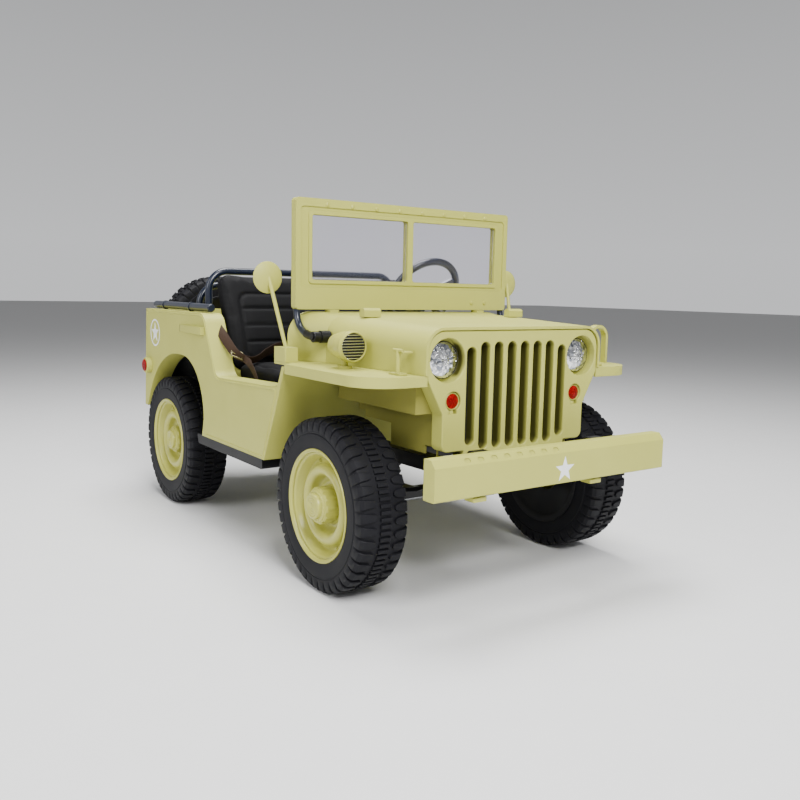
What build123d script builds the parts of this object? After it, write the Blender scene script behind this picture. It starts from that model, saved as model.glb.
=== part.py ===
from build123d import *
import math
import os

# Ride-on toy in the form of a small open army 4x4, in millimetres at its real size.
# +X points forward, +Y to the car's left and +Z up. The origin lies on the ground, midway
# between the bumper's face and the back of the spare wheel.
os.makedirs("parts", exist_ok=True)

# Driving sizes of the whole car
wheelbase = 900.0
front_reach = 333.0
rear_reach = 298.0
body_half = 386.0
tyre_radius = 188.0
tyre_width = 115.0

# Gaps and overruns that many pieces share
overrun = 20.0
seat_gap = 0.3
running_gap = 0.08
loose_gap = 6.0
edge_round = 3.0

rear_axle_x = rear_reach - (rear_reach + wheelbase + front_reach) / 2
front_axle_x = rear_axle_x + wheelbase
axle_z = tyre_radius
wheel_y = body_half - tyre_width / 2
bumper_face_x = front_axle_x + front_reach

# Wheels: a tyre with a flat sidewall step, and a dished rim with a raised ring
rim_lip_radius = 122.7
rim_lip_width = 6.0
rim_seat_radius = 112.0
rim_wall = 5.0
lip_inset = 1.5
channel_radius = 104.0
channel_depth = 31.0
ring_radius = 90.0
ring_face_depth = 17.0
recess_radius = 61.0
disc_depth = 42.0
disc_thickness = 7.0
spindle_radius = 8.0
hub_radius = 39.0
hub_cap_radius = 27.0
hub_ring_radius = 33.0
front_hub_reach = 9.0
rear_hub_reach = -6.0
hub_wall = 9.0
hub_barrel_radius = 22.0
hub_barrel_length = 46.0
hub_slot_count = 20
hub_slot_width = 5.0
hub_slot_depth = 5.0
ring_round = 9.0
sidewall_radius = 152.0
shoulder_radius = 177.0
shoulder_share = 0.88
sidewall_inset = 3.0

# Steering: upright pins just inboard of the wheels, and a rod behind the axle
kingpin_inset = 130.0
kingpin_y = body_half - kingpin_inset
kingpin_radius = 6.0
sleeve_radius = 11.0
sleeve_height = 40.0
ear_height = 8.0
ear_half_width = 13.0
upright_gap = 2.0
upright_thickness = 7.0
beam_size = 24.0
steer_arm_length = 62.0
steer_arm_height = 8.0
tie_pin_radius = 4.0
tie_rod_radius = 6.0
tie_eye_radius = 9.0

# Tub: side walls with a moulded thickness, a floor and boxes over the rear wheels
tub_wall = 56.0
tub_skin = 10.0
tub_top_z = 574.0
tub_tail_top = 172.0
tub_tail_low = 196.0
tub_tail_z = 272.0
tub_low_z = 243.0
tub_step_forward = 268.0
arch_top_z = 452.0
arch_rear = 173.0
arch_knee = 70.0
arch_front = 285.0
arch_front_z = 289.0
arch_round = 280.0
arch_front_round = 158.0
arch_inset = 200.0
arch_depth = body_half - arch_inset
wheelhouse_skin = 13.0
wheelhouse_front = 298.0
bulkhead = 12.0
door_top = 290.0
door_foot = 372.0
door_foot_z = 412.0
door_sill_back = 178.0
door_sill_z = 423.0
pillar_back = 150.0
toe_back = 143.0
toe_mid_back = 175.0
toe_mid_z = 395.0
toe_low_back = 246.0
door_top_round = 44.0
door_foot_round = 34.0
door_sill_round = 18.0

# Front wings: a flat plate with a rounded front corner and a skirt round its outer edge
wing_z = 478.0
wing_plate = 6.0
wing_skirt = 22.0
wing_front_back = -196.0
wing_corner_share = 0.56
wing_tail_back = 235.0
wing_inner_rear = 262.0
wing_inner_front = 240.0

# Hood and cowl, moulded shells over the engine bay
shell = 6.0
hood_front_half = 250.0
hood_rear_half = 280.0
hood_front_z = 574.0
hood_rear_z = 587.0
hood_corner = 46.0
hood_rear_corner = 52.0
hood_rear_back = 143.0
hood_lip = 3.0
cowl_rear_back = 235.0
cowl_flare = 51.0
cowl_half = hood_rear_half + cowl_flare
wing_tail_reach = 35.0
wing_tail_half = cowl_half + wing_tail_reach
cowl_z = 592.0
cowl_corner = 58.0
stop_y = 225.0
stop_size = 24.0

# Grille: one panel with eight slots, lamp rings and a flange round its edge
grille_face_back = -196.0
grille_thickness = 27.0
grille_flange = 35.0
grille_half = 243.0
grille_high_z = 567.0
grille_shoulder_z = 470.0
grille_waist_half = 203.0
grille_waist_z = 396.0
grille_low_z = 318.0
grille_apron_half = 146.0
grille_apron_z = 299.0
grille_corner = 43.0
grille_low_corner = 16.0
slot_count = 8
slot_pitch = 37.2
slot_width = 25.0
slot_low_z = 317.0
slot_high_z = 543.0
short_slot_low_z = 328.0
short_slot_high_z = 533.0
lamp_y = 192.0
lamp_z = 507.0
lamp_radius = 38.0
lamp_ring_radius = 45.0
lamp_depth = 24.0
lamp_dome = 9.0
signal_y = 176.0
signal_z = 423.0
signal_radius = 16.0
signal_ring_radius = 20.0
signal_depth = 14.0
signal_notch = 12.0
lamp_sink = 5.0
backing_thickness = 3.0
backing_margin = 9.0
wing_corner = wing_corner_share * (body_half - grille_half)

# Bumper: a channel with a sloped top strip and closed ends
bumper_half = 325.0
bumper_low_z = 259.0
bumper_high_z = 338.0
bumper_depth = 34.0
bumper_slope_drop = 15.0
bumper_slope_run = 12.0
bumper_wall = 5.0
bumper_end_wall = 7.0
dimple_count = 8
dimple_pitch = 33.3
dimple_first_y = -243.0
dimple_radius = 5.0
dimple_length = 15.0
dimple_depth = 2.0

# Chassis: two rails that rise ahead of the tub, with cross members
rail_inset = 220.0
rail_y = body_half - rail_inset
rail_width = 36.0
rail_height = 34.0
rail_low_z = 209.0
rail_front_low_z = 262.0
rail_tail = 190.0
rail_rise_start_back = 240.0
rail_rise_end_back = 165.0
horn_length = 80.0
horn_high_z = 333.0
horn_low_z = 248.0
cross_size = 26.0
cross_shares = (0.0, 0.24, 0.5, 0.78)

# Inner panels beside the engine bay, stepped along their lower edge
panel_y = 189.0
panel_thickness = 5.0
panel_steps = (
    (183.0, 115.0, 366.0),
    (115.0, 7.0, 352.0),
    (7.0, -120.0, 304.0),
    (-120.0, -160.0, 322.0),
)

# Windscreen: an upright frame with a lower panel, on two bent arms
screen_flare = 42.0
screen_half = hood_rear_half + screen_flare
screen_low_z = 597.0
screen_high_z = 852.0
screen_face_back = 212.0
screen_thickness = 22.0
screen_corner = 9.0
glass_half = 279.0
glass_low_z = 666.0
glass_high_z = 815.0
glass_corner = 6.0
post_width = 16.0
bead_width = 9.0
bead_height = 3.0
glass_thickness = 3.0
arm_flare = 34.0
arm_y = hood_rear_half + arm_flare
arm_radius = 8.5
pivot_back = 130.0
pivot_z = 538.0
arm_knee_z = 581.0
arm_bend = 14.0
arm_eye_radius = 12.5
arm_eye_half = 9.0
pivot_boss_radius = 14.0
pivot_side_gap = 0.5
hinge_pin_radius = 4.0
hinge_head_radius = 7.0
hinge_head = 3.0
rest_length = 44.0
rest_width = 20.0
rest_height = 20.0
rest_y = 215.0
rest_back = 60.0

# Seat bench, its box, and the tubes behind it
seat_side_gap = 12.0
seat_half = body_half - tub_wall - seat_side_gap
seat_rear = 302.0
seat_front = 575.0
seat_box_inset = 20.0
seat_box_wall = 6.0
cushion_low_z = 398.0
cushion_high_z = 440.0
back_foot_front = 322.0
back_low_rear = 244.0
back_high_front = 214.0
back_high_rear = 171.0
back_high_z = 684.0
deck_z = 465.0
cushion_round = 16.0
hoop_x = 150.0
hoop_side_gap = 17.0
hoop_half = body_half - tub_wall - hoop_side_gap
hoop_z = 689.0
hoop_radius = 10.0
hoop_bend = 55.0
rear_hoop_x = 60.0
rear_hoop_side_gap = 26.0
rear_hoop_half = body_half - tub_wall - rear_hoop_side_gap
rear_hoop_z = 648.0
top_rail_radius = 11.0
top_rail_inset = 32.0
top_rail_y = body_half - top_rail_inset
top_rail_rear = 168.0
top_rail_front = 268.0
top_rail_ring = 2.0
top_rail_ring_width = 9.0
top_rail_ring_shares = (0.18, 0.66)

# Steering wheel and dashboard
dash_thickness = 6.0
dash_low_z = 486.0
wheel_centre_back = 370.0
wheel_centre_y = 160.0
wheel_centre_z = 636.0
wheel_ring_radius = 104.0
wheel_rim_thickness = 10.0
wheel_tilt = 32.0
wheel_hub_radius = 24.0
wheel_hub_length = 26.0
spoke_count = 3
spoke_width = 17.0
spoke_thickness = 8.0
column_radius = 13.0

# Small fittings
sill_height = 26.0
sill_depth = 62.0
sill_round = 8.0
sill_rear = 232.0
sill_front_back = 262.0
mirror_reach = 37.0
mirror_y = cowl_half + mirror_reach
mirror_z = 669.0
mirror_back = 254.0
mirror_radius = 37.0
mirror_dish = 9.0
mirror_skin = 3.0
stalk_radius = 4.5
mirror_block_rear = 235.0
mirror_block_front = 178.0
mirror_block_gap = 1.0
mirror_block_inner = cowl_half + mirror_block_gap
mirror_block_outer = wing_tail_half
mirror_block_height = 33.0
siren_face_back = -22.0
siren_side_gap = 30.0
siren_y = hood_rear_half + siren_side_gap
siren_z = 526.0
siren_radius = 34.0
siren_length = 66.0
siren_tail_radius = 24.0
siren_foot_radius = 7.0
siren_base_radius = 16.0
siren_base_height = 5.0
guard_back = -100.0
guard_side_gap = 36.0
guard_width = 64.0
guard_low_y = hood_rear_half + guard_side_gap
guard_high_y = guard_low_y + guard_width
guard_high_z = 571.0
guard_strip = 16.0
guard_thickness = 7.0
catch_back = -150.0
catch_y = 284.0
catch_base = 20.0
catch_base_height = 4.0
catch_post_radius = 5.0
catch_high_z = 527.0
catch_bar_radius = 3.5
catch_bar_half = 15.0
marker_x = 147.0
marker_z = 400.0
marker_radius = 24.0
marker_reach = 16.0
marker_lens_radius = 18.0
marker_lens_reach = 4.0
grip_rear = 113.0
grip_front = 296.0
grip_low_z = 517.0
grip_high_z = 537.0
grip_reach = 12.0
battery_length = 180.0
battery_half = 75.0
battery_height = 110.0
battery_x = 345.0

# Rear drive: axle tube, gearboxes with motors, and upright springs
axle_tube_radius = 13.0
gearbox_half_length = 44.0
gearbox_height = 62.0
gearbox_inset = 124.0
gearbox_width = 57.0
gearbox_outer = body_half - gearbox_inset
gearbox_inner = gearbox_outer - gearbox_width
motor_radius = 19.0
motor_length = 72.0
spring_inset = 154.0
spring_y = body_half - spring_inset
spring_radius = 17.0
spring_shift = -26.0
leaf_half_length = 158.0
leaf_width = 32.0
leaf_thickness = 9.0

# Spare wheel on the tub's tail, its axle line along X
spare_y = -120.0
spare_z = 490.0
spare_width = 96.0
spare_carrier_radius = 58.0
nut_radius = 17.0
nut_reach = 14.0

sides = ((1, "left"), (-1, "right"))


def rear_x(ahead):
    """Place along X, counted forward from the rear axle."""
    return rear_axle_x + ahead


def front_x(back):
    """Place along X, counted back from the front axle."""
    return front_axle_x - back


def cap_middle(radius, rise):
    """Height of a ball's cap over its rim, halfway out from its centre to its rim."""
    ball_radius = (radius**2 + rise**2) / (2 * rise)
    return rise - ball_radius + math.sqrt(ball_radius**2 - radius**2 / 4)


def tyre_solid(axle_plane, axle, width):
    """Ring with a bulged sidewall, a step near the shoulder and a slightly round tread."""
    half = width / 2
    bead_half = half - rim_lip_width - lip_inset - seat_gap
    bead_radius = rim_lip_radius + seat_gap
    inner_radius = rim_seat_radius + seat_gap
    side_half = half - sidewall_inset
    with BuildPart() as tyre:
        with BuildSketch(axle_plane):
            with BuildLine():
                for side in (1, -1):
                    Polyline(
                        (0, inner_radius),
                        (side * bead_half, inner_radius),
                        (side * bead_half, bead_radius),
                        (side * side_half, bead_radius),
                        (side * half, sidewall_radius),
                        (side * half, shoulder_radius - edge_round),
                        (side * half * shoulder_share, tyre_radius - edge_round),
                    )
                ThreePointArc(
                    (half * shoulder_share, tyre_radius - edge_round),
                    (0, tyre_radius),
                    (-half * shoulder_share, tyre_radius - edge_round),
                )
            make_face()
        revolve(axis=axle)
    return tyre


def rim_solid(axle_plane, axle, outboard, width, hub_reach):
    """Dished rim with its hub; outboard is +1 or -1 along the plane's own X."""
    half = width / 2
    lip_face = half - lip_inset
    lip_back = lip_face - rim_lip_width
    channel_face = half - channel_depth
    ring_face = half - ring_face_depth
    disc_face = half - disc_depth
    disc_back = disc_face - disc_thickness
    profile = (
        (disc_face, 0),
        (disc_face, recess_radius - edge_round),
        (ring_face, recess_radius + edge_round),
        (ring_face, ring_radius - edge_round),
        (channel_face, ring_radius + edge_round),
        (channel_face, channel_radius),
        (lip_back, rim_seat_radius - rim_wall),
        (lip_face, rim_seat_radius),
        (lip_face, rim_lip_radius),
        (lip_back, rim_lip_radius),
        (lip_back, rim_seat_radius),
        (-lip_back, rim_seat_radius),
        (-lip_back, rim_lip_radius),
        (-lip_face, rim_lip_radius),
        (-lip_face, rim_seat_radius - rim_wall),
        (channel_face - rim_wall, rim_seat_radius - rim_wall),
        (channel_face - rim_wall, ring_radius - edge_round),
        (ring_face - rim_wall, ring_radius - rim_wall - edge_round),
        (ring_face - rim_wall, recess_radius + rim_wall + edge_round),
        (disc_back, recess_radius),
        (disc_back, 0),
    )
    ring_corners = ((ring_face, recess_radius + edge_round), (ring_face, ring_radius - edge_round))
    with BuildPart() as rim:
        with BuildSketch(axle_plane):
            with BuildLine():
                FilletPolyline(
                    [(outboard * along, radius) for along, radius in profile],
                    radius=[ring_round if corner in ring_corners else 0 for corner in profile],
                    close=True,
                )
            make_face()
        revolve(axis=axle)
        if hub_reach is not None:
            hub_end = half + hub_reach
            hub_profile = (
                (disc_back, 0),
                (disc_back, hub_radius),
                (hub_end - 2 * hub_wall, hub_radius),
                (hub_end - hub_wall, hub_ring_radius),
                (hub_end - hub_wall, hub_cap_radius),
                (hub_end, hub_cap_radius - edge_round),
                (hub_end, 0),
            )
            with BuildSketch(axle_plane):
                with BuildLine():
                    Polyline([(outboard * along, radius) for along, radius in hub_profile], close=True)
                make_face()
            revolve(axis=axle)
            with BuildSketch(axle_plane):
                with BuildLine():
                    barrel_back = disc_back - hub_barrel_length
                    Polyline(
                        [
                            (outboard * disc_back, 0),
                            (outboard * disc_back, hub_barrel_radius),
                            (outboard * barrel_back, hub_barrel_radius),
                            (outboard * barrel_back, 0),
                        ],
                        close=True,
                    )
                make_face()
            revolve(axis=axle)
            with BuildSketch(axle_plane):
                with BuildLine():
                    bore_end = hub_end - hub_wall
                    bore_radius = spindle_radius + running_gap
                    Polyline(
                        [
                            (outboard * bore_end, 0),
                            (outboard * bore_end, bore_radius),
                            (outboard * (barrel_back - overrun), bore_radius),
                            (outboard * (barrel_back - overrun), 0),
                        ],
                        close=True,
                    )
                make_face()
            revolve(axis=axle, mode=Mode.SUBTRACT)
            # Notches round the hub's ring
            notch_origin = axle_plane.from_local_coords((outboard * (hub_end - hub_wall), 0, 0))
            notch_axis = outboard * axle_plane.x_dir
            notch_plane = Plane(origin=notch_origin, x_dir=axle_plane.y_dir, z_dir=notch_axis)
            with BuildSketch(notch_plane):
                with PolarLocations(hub_radius, hub_slot_count):
                    Rectangle(2 * (hub_radius - hub_ring_radius), hub_slot_width)
            extrude(amount=-hub_wall - hub_slot_depth, mode=Mode.SUBTRACT)
    return rim


hub_reaches = {"front": front_hub_reach, "rear": rear_hub_reach}
hub_bore_ends = {}
for end, axle_x in (("front", front_axle_x), ("rear", rear_axle_x)):
    hub_bore_ends[end] = body_half + hub_reaches[end] - hub_wall
    for side, side_name in sides:
        centre = (axle_x, side * wheel_y, axle_z)
        axle_plane = Plane(origin=centre, x_dir=(0, 1, 0), z_dir=(1, 0, 0))
        axle = Axis(centre, (0, 1, 0))
        tyre = tyre_solid(axle_plane, axle, tyre_width)
        tyre.part.label = f"tyre_{end}_{side_name}"
        export_step(tyre.part, f"parts/tyre_{end}_{side_name}.step")
        rim = rim_solid(axle_plane, axle, side, tyre_width, hub_reaches[end])
        rim.part.label = f"rim_{end}_{side_name}"
        export_step(rim.part, f"parts/rim_{end}_{side_name}.step")


def rounded_outline(corners):
    """Closed outline in the open line block; each corner is its place, its height and its radius."""
    FilletPolyline(
        [(across, up) for across, up, _ in corners],
        radius=[radius for _, _, radius in corners],
        close=True,
    )


def arch_corners(half, low_z, high_z, corner, wall):
    """Wall of an upturned U, as corners: outer edge first, then the inner edge back."""
    return (
        (-half, low_z, 0),
        (-half, high_z, corner),
        (half, high_z, corner),
        (half, low_z, 0),
        (half - wall, low_z, 0),
        (half - wall, high_z - wall, corner - wall),
        (-half + wall, high_z - wall, corner - wall),
        (-half + wall, low_z, 0),
    )


# Spare wheel: the same section turned about X, its dished face to the rear
spare_x = rear_axle_x - rear_reach + spare_width / 2
spare_centre = (spare_x, spare_y, spare_z)
spare_plane = Plane(origin=spare_centre, x_dir=(-1, 0, 0), z_dir=(0, 1, 0))
spare_axle = Axis(spare_centre, (1, 0, 0))
tyre_spare = tyre_solid(spare_plane, spare_axle, spare_width)
tyre_spare.part.label = "tyre_spare"
export_step(tyre_spare.part, "parts/tyre_spare.step")

rim_spare = rim_solid(spare_plane, spare_axle, 1, spare_width, None)
rim_spare.part.label = "rim_spare"
export_step(rim_spare.part, "parts/rim_spare.step")

# Tub: one side outline drawn across the whole width, then hollowed out from above
with BuildPart() as tub:
    with BuildSketch(Plane.XZ):
        with BuildLine():
            rounded_outline(
                (
                    (rear_x(-tub_tail_top), tub_top_z, edge_round),
                    (rear_x(door_top), tub_top_z, door_top_round),
                    (rear_x(door_foot), door_foot_z, door_foot_round),
                    (front_x(door_sill_back), door_sill_z, door_sill_round),
                    (front_x(pillar_back + loose_gap), wing_z - wing_plate - seat_gap, edge_round),
                    (front_x(toe_back), wing_z - wing_plate - seat_gap, 0),
                    (front_x(toe_mid_back), toe_mid_z, 0),
                    (front_x(toe_low_back), tub_low_z, 0),
                    (rear_x(tub_step_forward), tub_low_z, 0),
                    (rear_x(tub_step_forward), tub_low_z + tub_skin, 0),
                    (rear_x(-arch_rear), tub_low_z + tub_skin, 0),
                    (rear_x(-arch_rear), tub_tail_z, 0),
                    (rear_x(-tub_tail_low), tub_tail_z, edge_round),
                )
            )
        make_face()
    extrude(amount=body_half, both=True)
    # Load well between the wheel boxes, behind the seat's bulkhead
    with BuildSketch(Plane.XZ):
        with BuildLine():
            rounded_outline(
                (
                    (rear_x(-tub_tail_top + tub_skin), tub_top_z + overrun, 0),
                    (rear_x(wheelhouse_front - bulkhead), tub_top_z + overrun, 0),
                    (rear_x(wheelhouse_front - bulkhead), tub_low_z + 2 * tub_skin, edge_round),
                    (rear_x(-tub_tail_low + 2 * tub_skin), tub_low_z + 2 * tub_skin, edge_round),
                )
            )
        make_face()
    extrude(amount=arch_depth - wheelhouse_skin, both=True, mode=Mode.SUBTRACT)
    # Space over the wheel boxes, then the cabin down to its floor
    with BuildSketch(Plane.XZ):
        with BuildLine():
            rounded_outline(
                (
                    (rear_x(-tub_tail_top + tub_skin), tub_top_z + overrun, 0),
                    (front_x(0), tub_top_z + overrun, 0),
                    (front_x(0), deck_z, 0),
                    (rear_x(-tub_tail_top + tub_skin), deck_z, edge_round),
                )
            )
        make_face()
    extrude(amount=body_half - tub_wall, both=True, mode=Mode.SUBTRACT)
    with BuildSketch(Plane.XZ):
        with BuildLine():
            rounded_outline(
                (
                    (rear_x(wheelhouse_front), tub_top_z, 0),
                    (rear_x(wheelhouse_front), tub_low_z + tub_skin, edge_round),
                    (front_x(toe_low_back + tub_skin), tub_low_z + tub_skin, edge_round),
                    (front_x(toe_mid_back + tub_skin), toe_mid_z, 0),
                    (front_x(toe_back + tub_skin), tub_top_z, 0),
                )
            )
        make_face()
    extrude(amount=body_half - tub_wall, both=True, mode=Mode.SUBTRACT)
    # Wheel arches, open outward and below
    for side, _ in sides:
        arch_plane = Plane.XZ.offset(-side * body_half - side * overrun)
        with BuildSketch(arch_plane):
            with BuildLine():
                rounded_outline(
                    (
                        (rear_x(-arch_rear), tub_low_z - overrun, 0),
                        (rear_x(-arch_rear), tub_tail_z, edge_round),
                        (rear_x(-arch_knee), arch_top_z, arch_round),
                        (rear_x(arch_front), arch_top_z, arch_front_round),
                        (rear_x(arch_front), arch_front_z, edge_round),
                        (rear_x(tub_step_forward), tub_low_z - overrun, 0),
                    )
                )
            make_face()
        extrude(amount=side * (body_half + overrun - arch_depth), mode=Mode.SUBTRACT)
tub.part.label = "tub"
export_step(tub.part, "parts/tub.step")

# Running boards below the sides
with BuildPart() as running_boards:
    board_high_z = tub_low_z - seat_gap
    with BuildSketch(Plane.XZ.offset(body_half - sill_depth)):
        with BuildLine():
            rounded_outline(
                (
                    (rear_x(sill_rear), board_high_z, 0),
                    (front_x(sill_front_back), board_high_z, 0),
                    (front_x(sill_front_back), board_high_z - sill_height, sill_round),
                    (rear_x(sill_rear + sill_round), board_high_z - sill_height, sill_round),
                )
            )
        make_face()
    extrude(amount=sill_depth - edge_round)
    mirror(about=Plane.XZ)
running_boards.part.label = "running_boards"
export_step(running_boards.part, "parts/running_boards.step")

# Front wings
for side, side_name in sides:
    wing_face_x = front_x(wing_front_back)
    flange_rear_x = wing_face_x - grille_flange - seat_gap
    with BuildPart() as wing:
        with BuildSketch(Plane.XY.offset(wing_z)):
            with BuildLine():
                rounded_outline(
                    (
                        (front_x(wing_tail_back), side * wing_inner_rear, 0),
                        (front_x(wing_tail_back), side * wing_tail_half, edge_round),
                        (front_x(toe_back), side * wing_tail_half, 0),
                        (front_x(toe_back), side * body_half, 0),
                        (wing_face_x, side * body_half, wing_corner),
                        (wing_face_x, side * (grille_half + seat_gap), 0),
                        (flange_rear_x, side * (grille_half + seat_gap), 0),
                        (flange_rear_x, side * wing_inner_front, 0),
                    )
                )
            make_face()
        extrude(amount=-wing_plate)
        with BuildSketch(Plane.XY.offset(wing_z)):
            with BuildLine():
                rounded_outline(
                    (
                        (front_x(toe_back) + seat_gap, side * body_half, 0),
                        (wing_face_x, side * body_half, wing_corner),
                        (wing_face_x, side * (grille_half + seat_gap), 0),
                        (wing_face_x - wing_plate, side * (grille_half + seat_gap), 0),
                        (wing_face_x - wing_plate, side * (body_half - wing_plate), wing_corner - wing_plate),
                        (front_x(toe_back) + seat_gap, side * (body_half - wing_plate), 0),
                    )
                )
            make_face()
        extrude(amount=-wing_skirt)
    wing.part.label = f"wing_{side_name}"
    export_step(wing.part, f"parts/wing_{side_name}.step")

# Hood: two upturned U sections, narrower and lower at the grille
hood_foot_z = wing_z + seat_gap
hood_rear_section = arch_corners(hood_rear_half, hood_foot_z, hood_rear_z, hood_rear_corner, shell)
with BuildPart() as hood:
    with BuildSketch(Plane.YZ.offset(front_x(hood_rear_back))):
        with BuildLine():
            rounded_outline(hood_rear_section)
        make_face()
    with BuildSketch(Plane.YZ.offset(front_x(grille_face_back) + hood_lip)):
        with BuildLine():
            rounded_outline(arch_corners(hood_front_half, hood_foot_z, hood_front_z, hood_corner, shell))
        make_face()
    loft()
hood.part.label = "hood"
export_step(hood.part, "parts/hood.step")

# Rests on the hood for the folded windscreen
with BuildPart() as hood_rests:
    rest_run = hood_rear_back - rest_back - rest_width
    hood_run_share = rest_run / (hood_rear_back - grille_face_back + hood_lip)
    rest_foot_z = hood_rear_z - (hood_rear_z - hood_front_z) * hood_run_share + seat_gap
    for side, _ in sides:
        with BuildSketch(Plane.XY.offset(rest_foot_z)):
            with Locations((front_x(rest_back), side * rest_y)):
                Rectangle(rest_width, rest_length)
        extrude(amount=rest_height)
    chamfer(hood_rests.edges().group_by(Axis.Z)[-1].filter_by(Axis.Y), length=rest_width / 4)
hood_rests.part.label = "hood_rests"
export_step(hood_rests.part, "parts/hood_rests.step")

# Steering column line: from the wheel's centre forward and down
tilt = math.radians(wheel_tilt)
wheel_centre = Vector(front_x(wheel_centre_back), wheel_centre_y, wheel_centre_z)
column_axis = Vector(math.cos(tilt), 0, -math.sin(tilt))
wheel_plane = Plane(origin=wheel_centre, x_dir=(0, 1, 0), z_dir=column_axis)
column_start = wheel_hub_length - spoke_thickness / 2 + seat_gap
column_plane = wheel_plane.offset(column_start)
column_length = (front_x(hood_rear_back) - wheel_centre.X) / math.cos(tilt) - column_start + column_radius

# Cowl: flares from the hood to the width of the dashboard, with a wall towards the engine bay
cowl_rear_x = front_x(cowl_rear_back)
cowl_front_x = front_x(hood_rear_back) - seat_gap
with BuildPart() as cowl:
    with BuildSketch(Plane.YZ.offset(cowl_rear_x)):
        with BuildLine():
            rounded_outline(arch_corners(cowl_half, hood_foot_z, cowl_z, cowl_corner, shell))
        make_face()
    with BuildSketch(Plane.YZ.offset(cowl_front_x)):
        with BuildLine():
            rounded_outline(hood_rear_section)
        make_face()
    loft()
    with BuildSketch(Plane.YZ.offset(cowl_front_x)):
        with BuildLine():
            rounded_outline(
                (
                    (-hood_rear_half + shell / 2, wing_z + seat_gap, 0),
                    (-hood_rear_half + shell / 2, hood_rear_z - shell / 2, hood_rear_corner),
                    (hood_rear_half - shell / 2, hood_rear_z - shell / 2, hood_rear_corner),
                    (hood_rear_half - shell / 2, wing_z + seat_gap, 0),
                )
            )
        make_face()
    extrude(amount=-shell)
    # Two stops that carry the upright windscreen
    with BuildSketch(Plane.XY.offset(hood_rear_z - shell / 2)):
        for side, _ in sides:
            with Locations((front_x(screen_face_back), side * stop_y)):
                Rectangle(stop_size, stop_size)
    extrude(amount=screen_low_z - seat_gap - hood_rear_z + shell / 2)
    with BuildSketch(column_plane):
        Circle(column_radius + running_gap)
    extrude(amount=column_length, mode=Mode.SUBTRACT)
cowl.part.label = "cowl"
export_step(cowl.part, "parts/cowl.step")

# Dashboard inside the cowl's rear edge
with BuildPart() as dashboard:
    dash_front_share = 3 * dash_thickness / 2 / (cowl_front_x - cowl_rear_x)
    dash_half = cowl_half - (cowl_half - hood_rear_half) * dash_front_share - shell - seat_gap
    dash_high_z = cowl_z - (cowl_z - hood_rear_z) * dash_front_share - shell - seat_gap
    with BuildSketch(Plane.YZ.offset(cowl_rear_x + dash_thickness / 2)):
        with BuildLine():
            rounded_outline(
                (
                    (-dash_half, dash_low_z, 0),
                    (-dash_half, dash_high_z, cowl_corner - shell),
                    (dash_half, dash_high_z, cowl_corner - shell),
                    (dash_half, dash_low_z, 0),
                )
            )
        make_face()
    extrude(amount=dash_thickness)
    with BuildSketch(column_plane):
        Circle(column_radius + running_gap)
    extrude(amount=column_length, mode=Mode.SUBTRACT)
dashboard.part.label = "dashboard"
export_step(dashboard.part, "parts/dashboard.step")

# Grille: the panel's outline, its flange, the slots and the seats of the lamps
grille_x = front_x(grille_face_back)
grille_corners = (
    (grille_apron_half, grille_low_z, 0),
    (grille_apron_half, grille_apron_z, edge_round),
    (-grille_apron_half, grille_apron_z, edge_round),
    (-grille_apron_half, grille_low_z, 0),
    (-grille_waist_half, grille_low_z, grille_low_corner),
    (-grille_waist_half, grille_waist_z, grille_low_corner),
    (-grille_half, grille_shoulder_z, grille_low_corner),
    (-grille_half, grille_high_z, grille_corner),
    (grille_half, grille_high_z, grille_corner),
    (grille_half, grille_shoulder_z, grille_low_corner),
    (grille_waist_half, grille_waist_z, grille_low_corner),
    (grille_waist_half, grille_low_z, grille_low_corner),
)
with BuildPart() as grille:
    with BuildSketch(Plane.YZ.offset(grille_x)):
        with BuildLine():
            rounded_outline(grille_corners)
        make_face()
    extrude(amount=-grille_flange)
    with BuildSketch(Plane.YZ.offset(grille_x - grille_thickness)):
        with BuildLine():
            rounded_outline(grille_corners)
        make_face()
        offset(amount=-shell, mode=Mode.REPLACE)
    extrude(amount=-grille_flange, mode=Mode.SUBTRACT)
    # Slots right through, then the lamps' blind recesses with a notch below the small ones
    with BuildSketch(Plane.YZ.offset(grille_x)):
        for number in range(slot_count):
            slot_y = (number - (slot_count - 1) / 2) * slot_pitch
            outer_slot = number in (0, slot_count - 1)
            low = short_slot_low_z if outer_slot else slot_low_z
            high = short_slot_high_z if outer_slot else slot_high_z
            with Locations((slot_y, (low + high) / 2)):
                SlotOverall(high - low, slot_width, rotation=90)
    extrude(amount=-grille_flange, mode=Mode.SUBTRACT)
    for recess_y, recess_z, recess, depth, notch in (
        (lamp_y, lamp_z, lamp_ring_radius, lamp_depth, 0),
        (signal_y, signal_z, signal_ring_radius, signal_depth, signal_notch),
    ):
        with BuildSketch(Plane.YZ.offset(grille_x)):
            with Locations((recess_y, recess_z), (-recess_y, recess_z)):
                Circle(recess)
                if notch > 0:
                    with Locations((0, -recess)):
                        Rectangle(recess, notch)
        extrude(amount=-depth, mode=Mode.SUBTRACT)
    front_edges = grille.edges().filter_by(Plane.YZ).group_by(Axis.X)[-1]
    chamfer(front_edges, length=edge_round / 2)
grille.part.label = "grille"
export_step(grille.part, "parts/grille.step")

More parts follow.
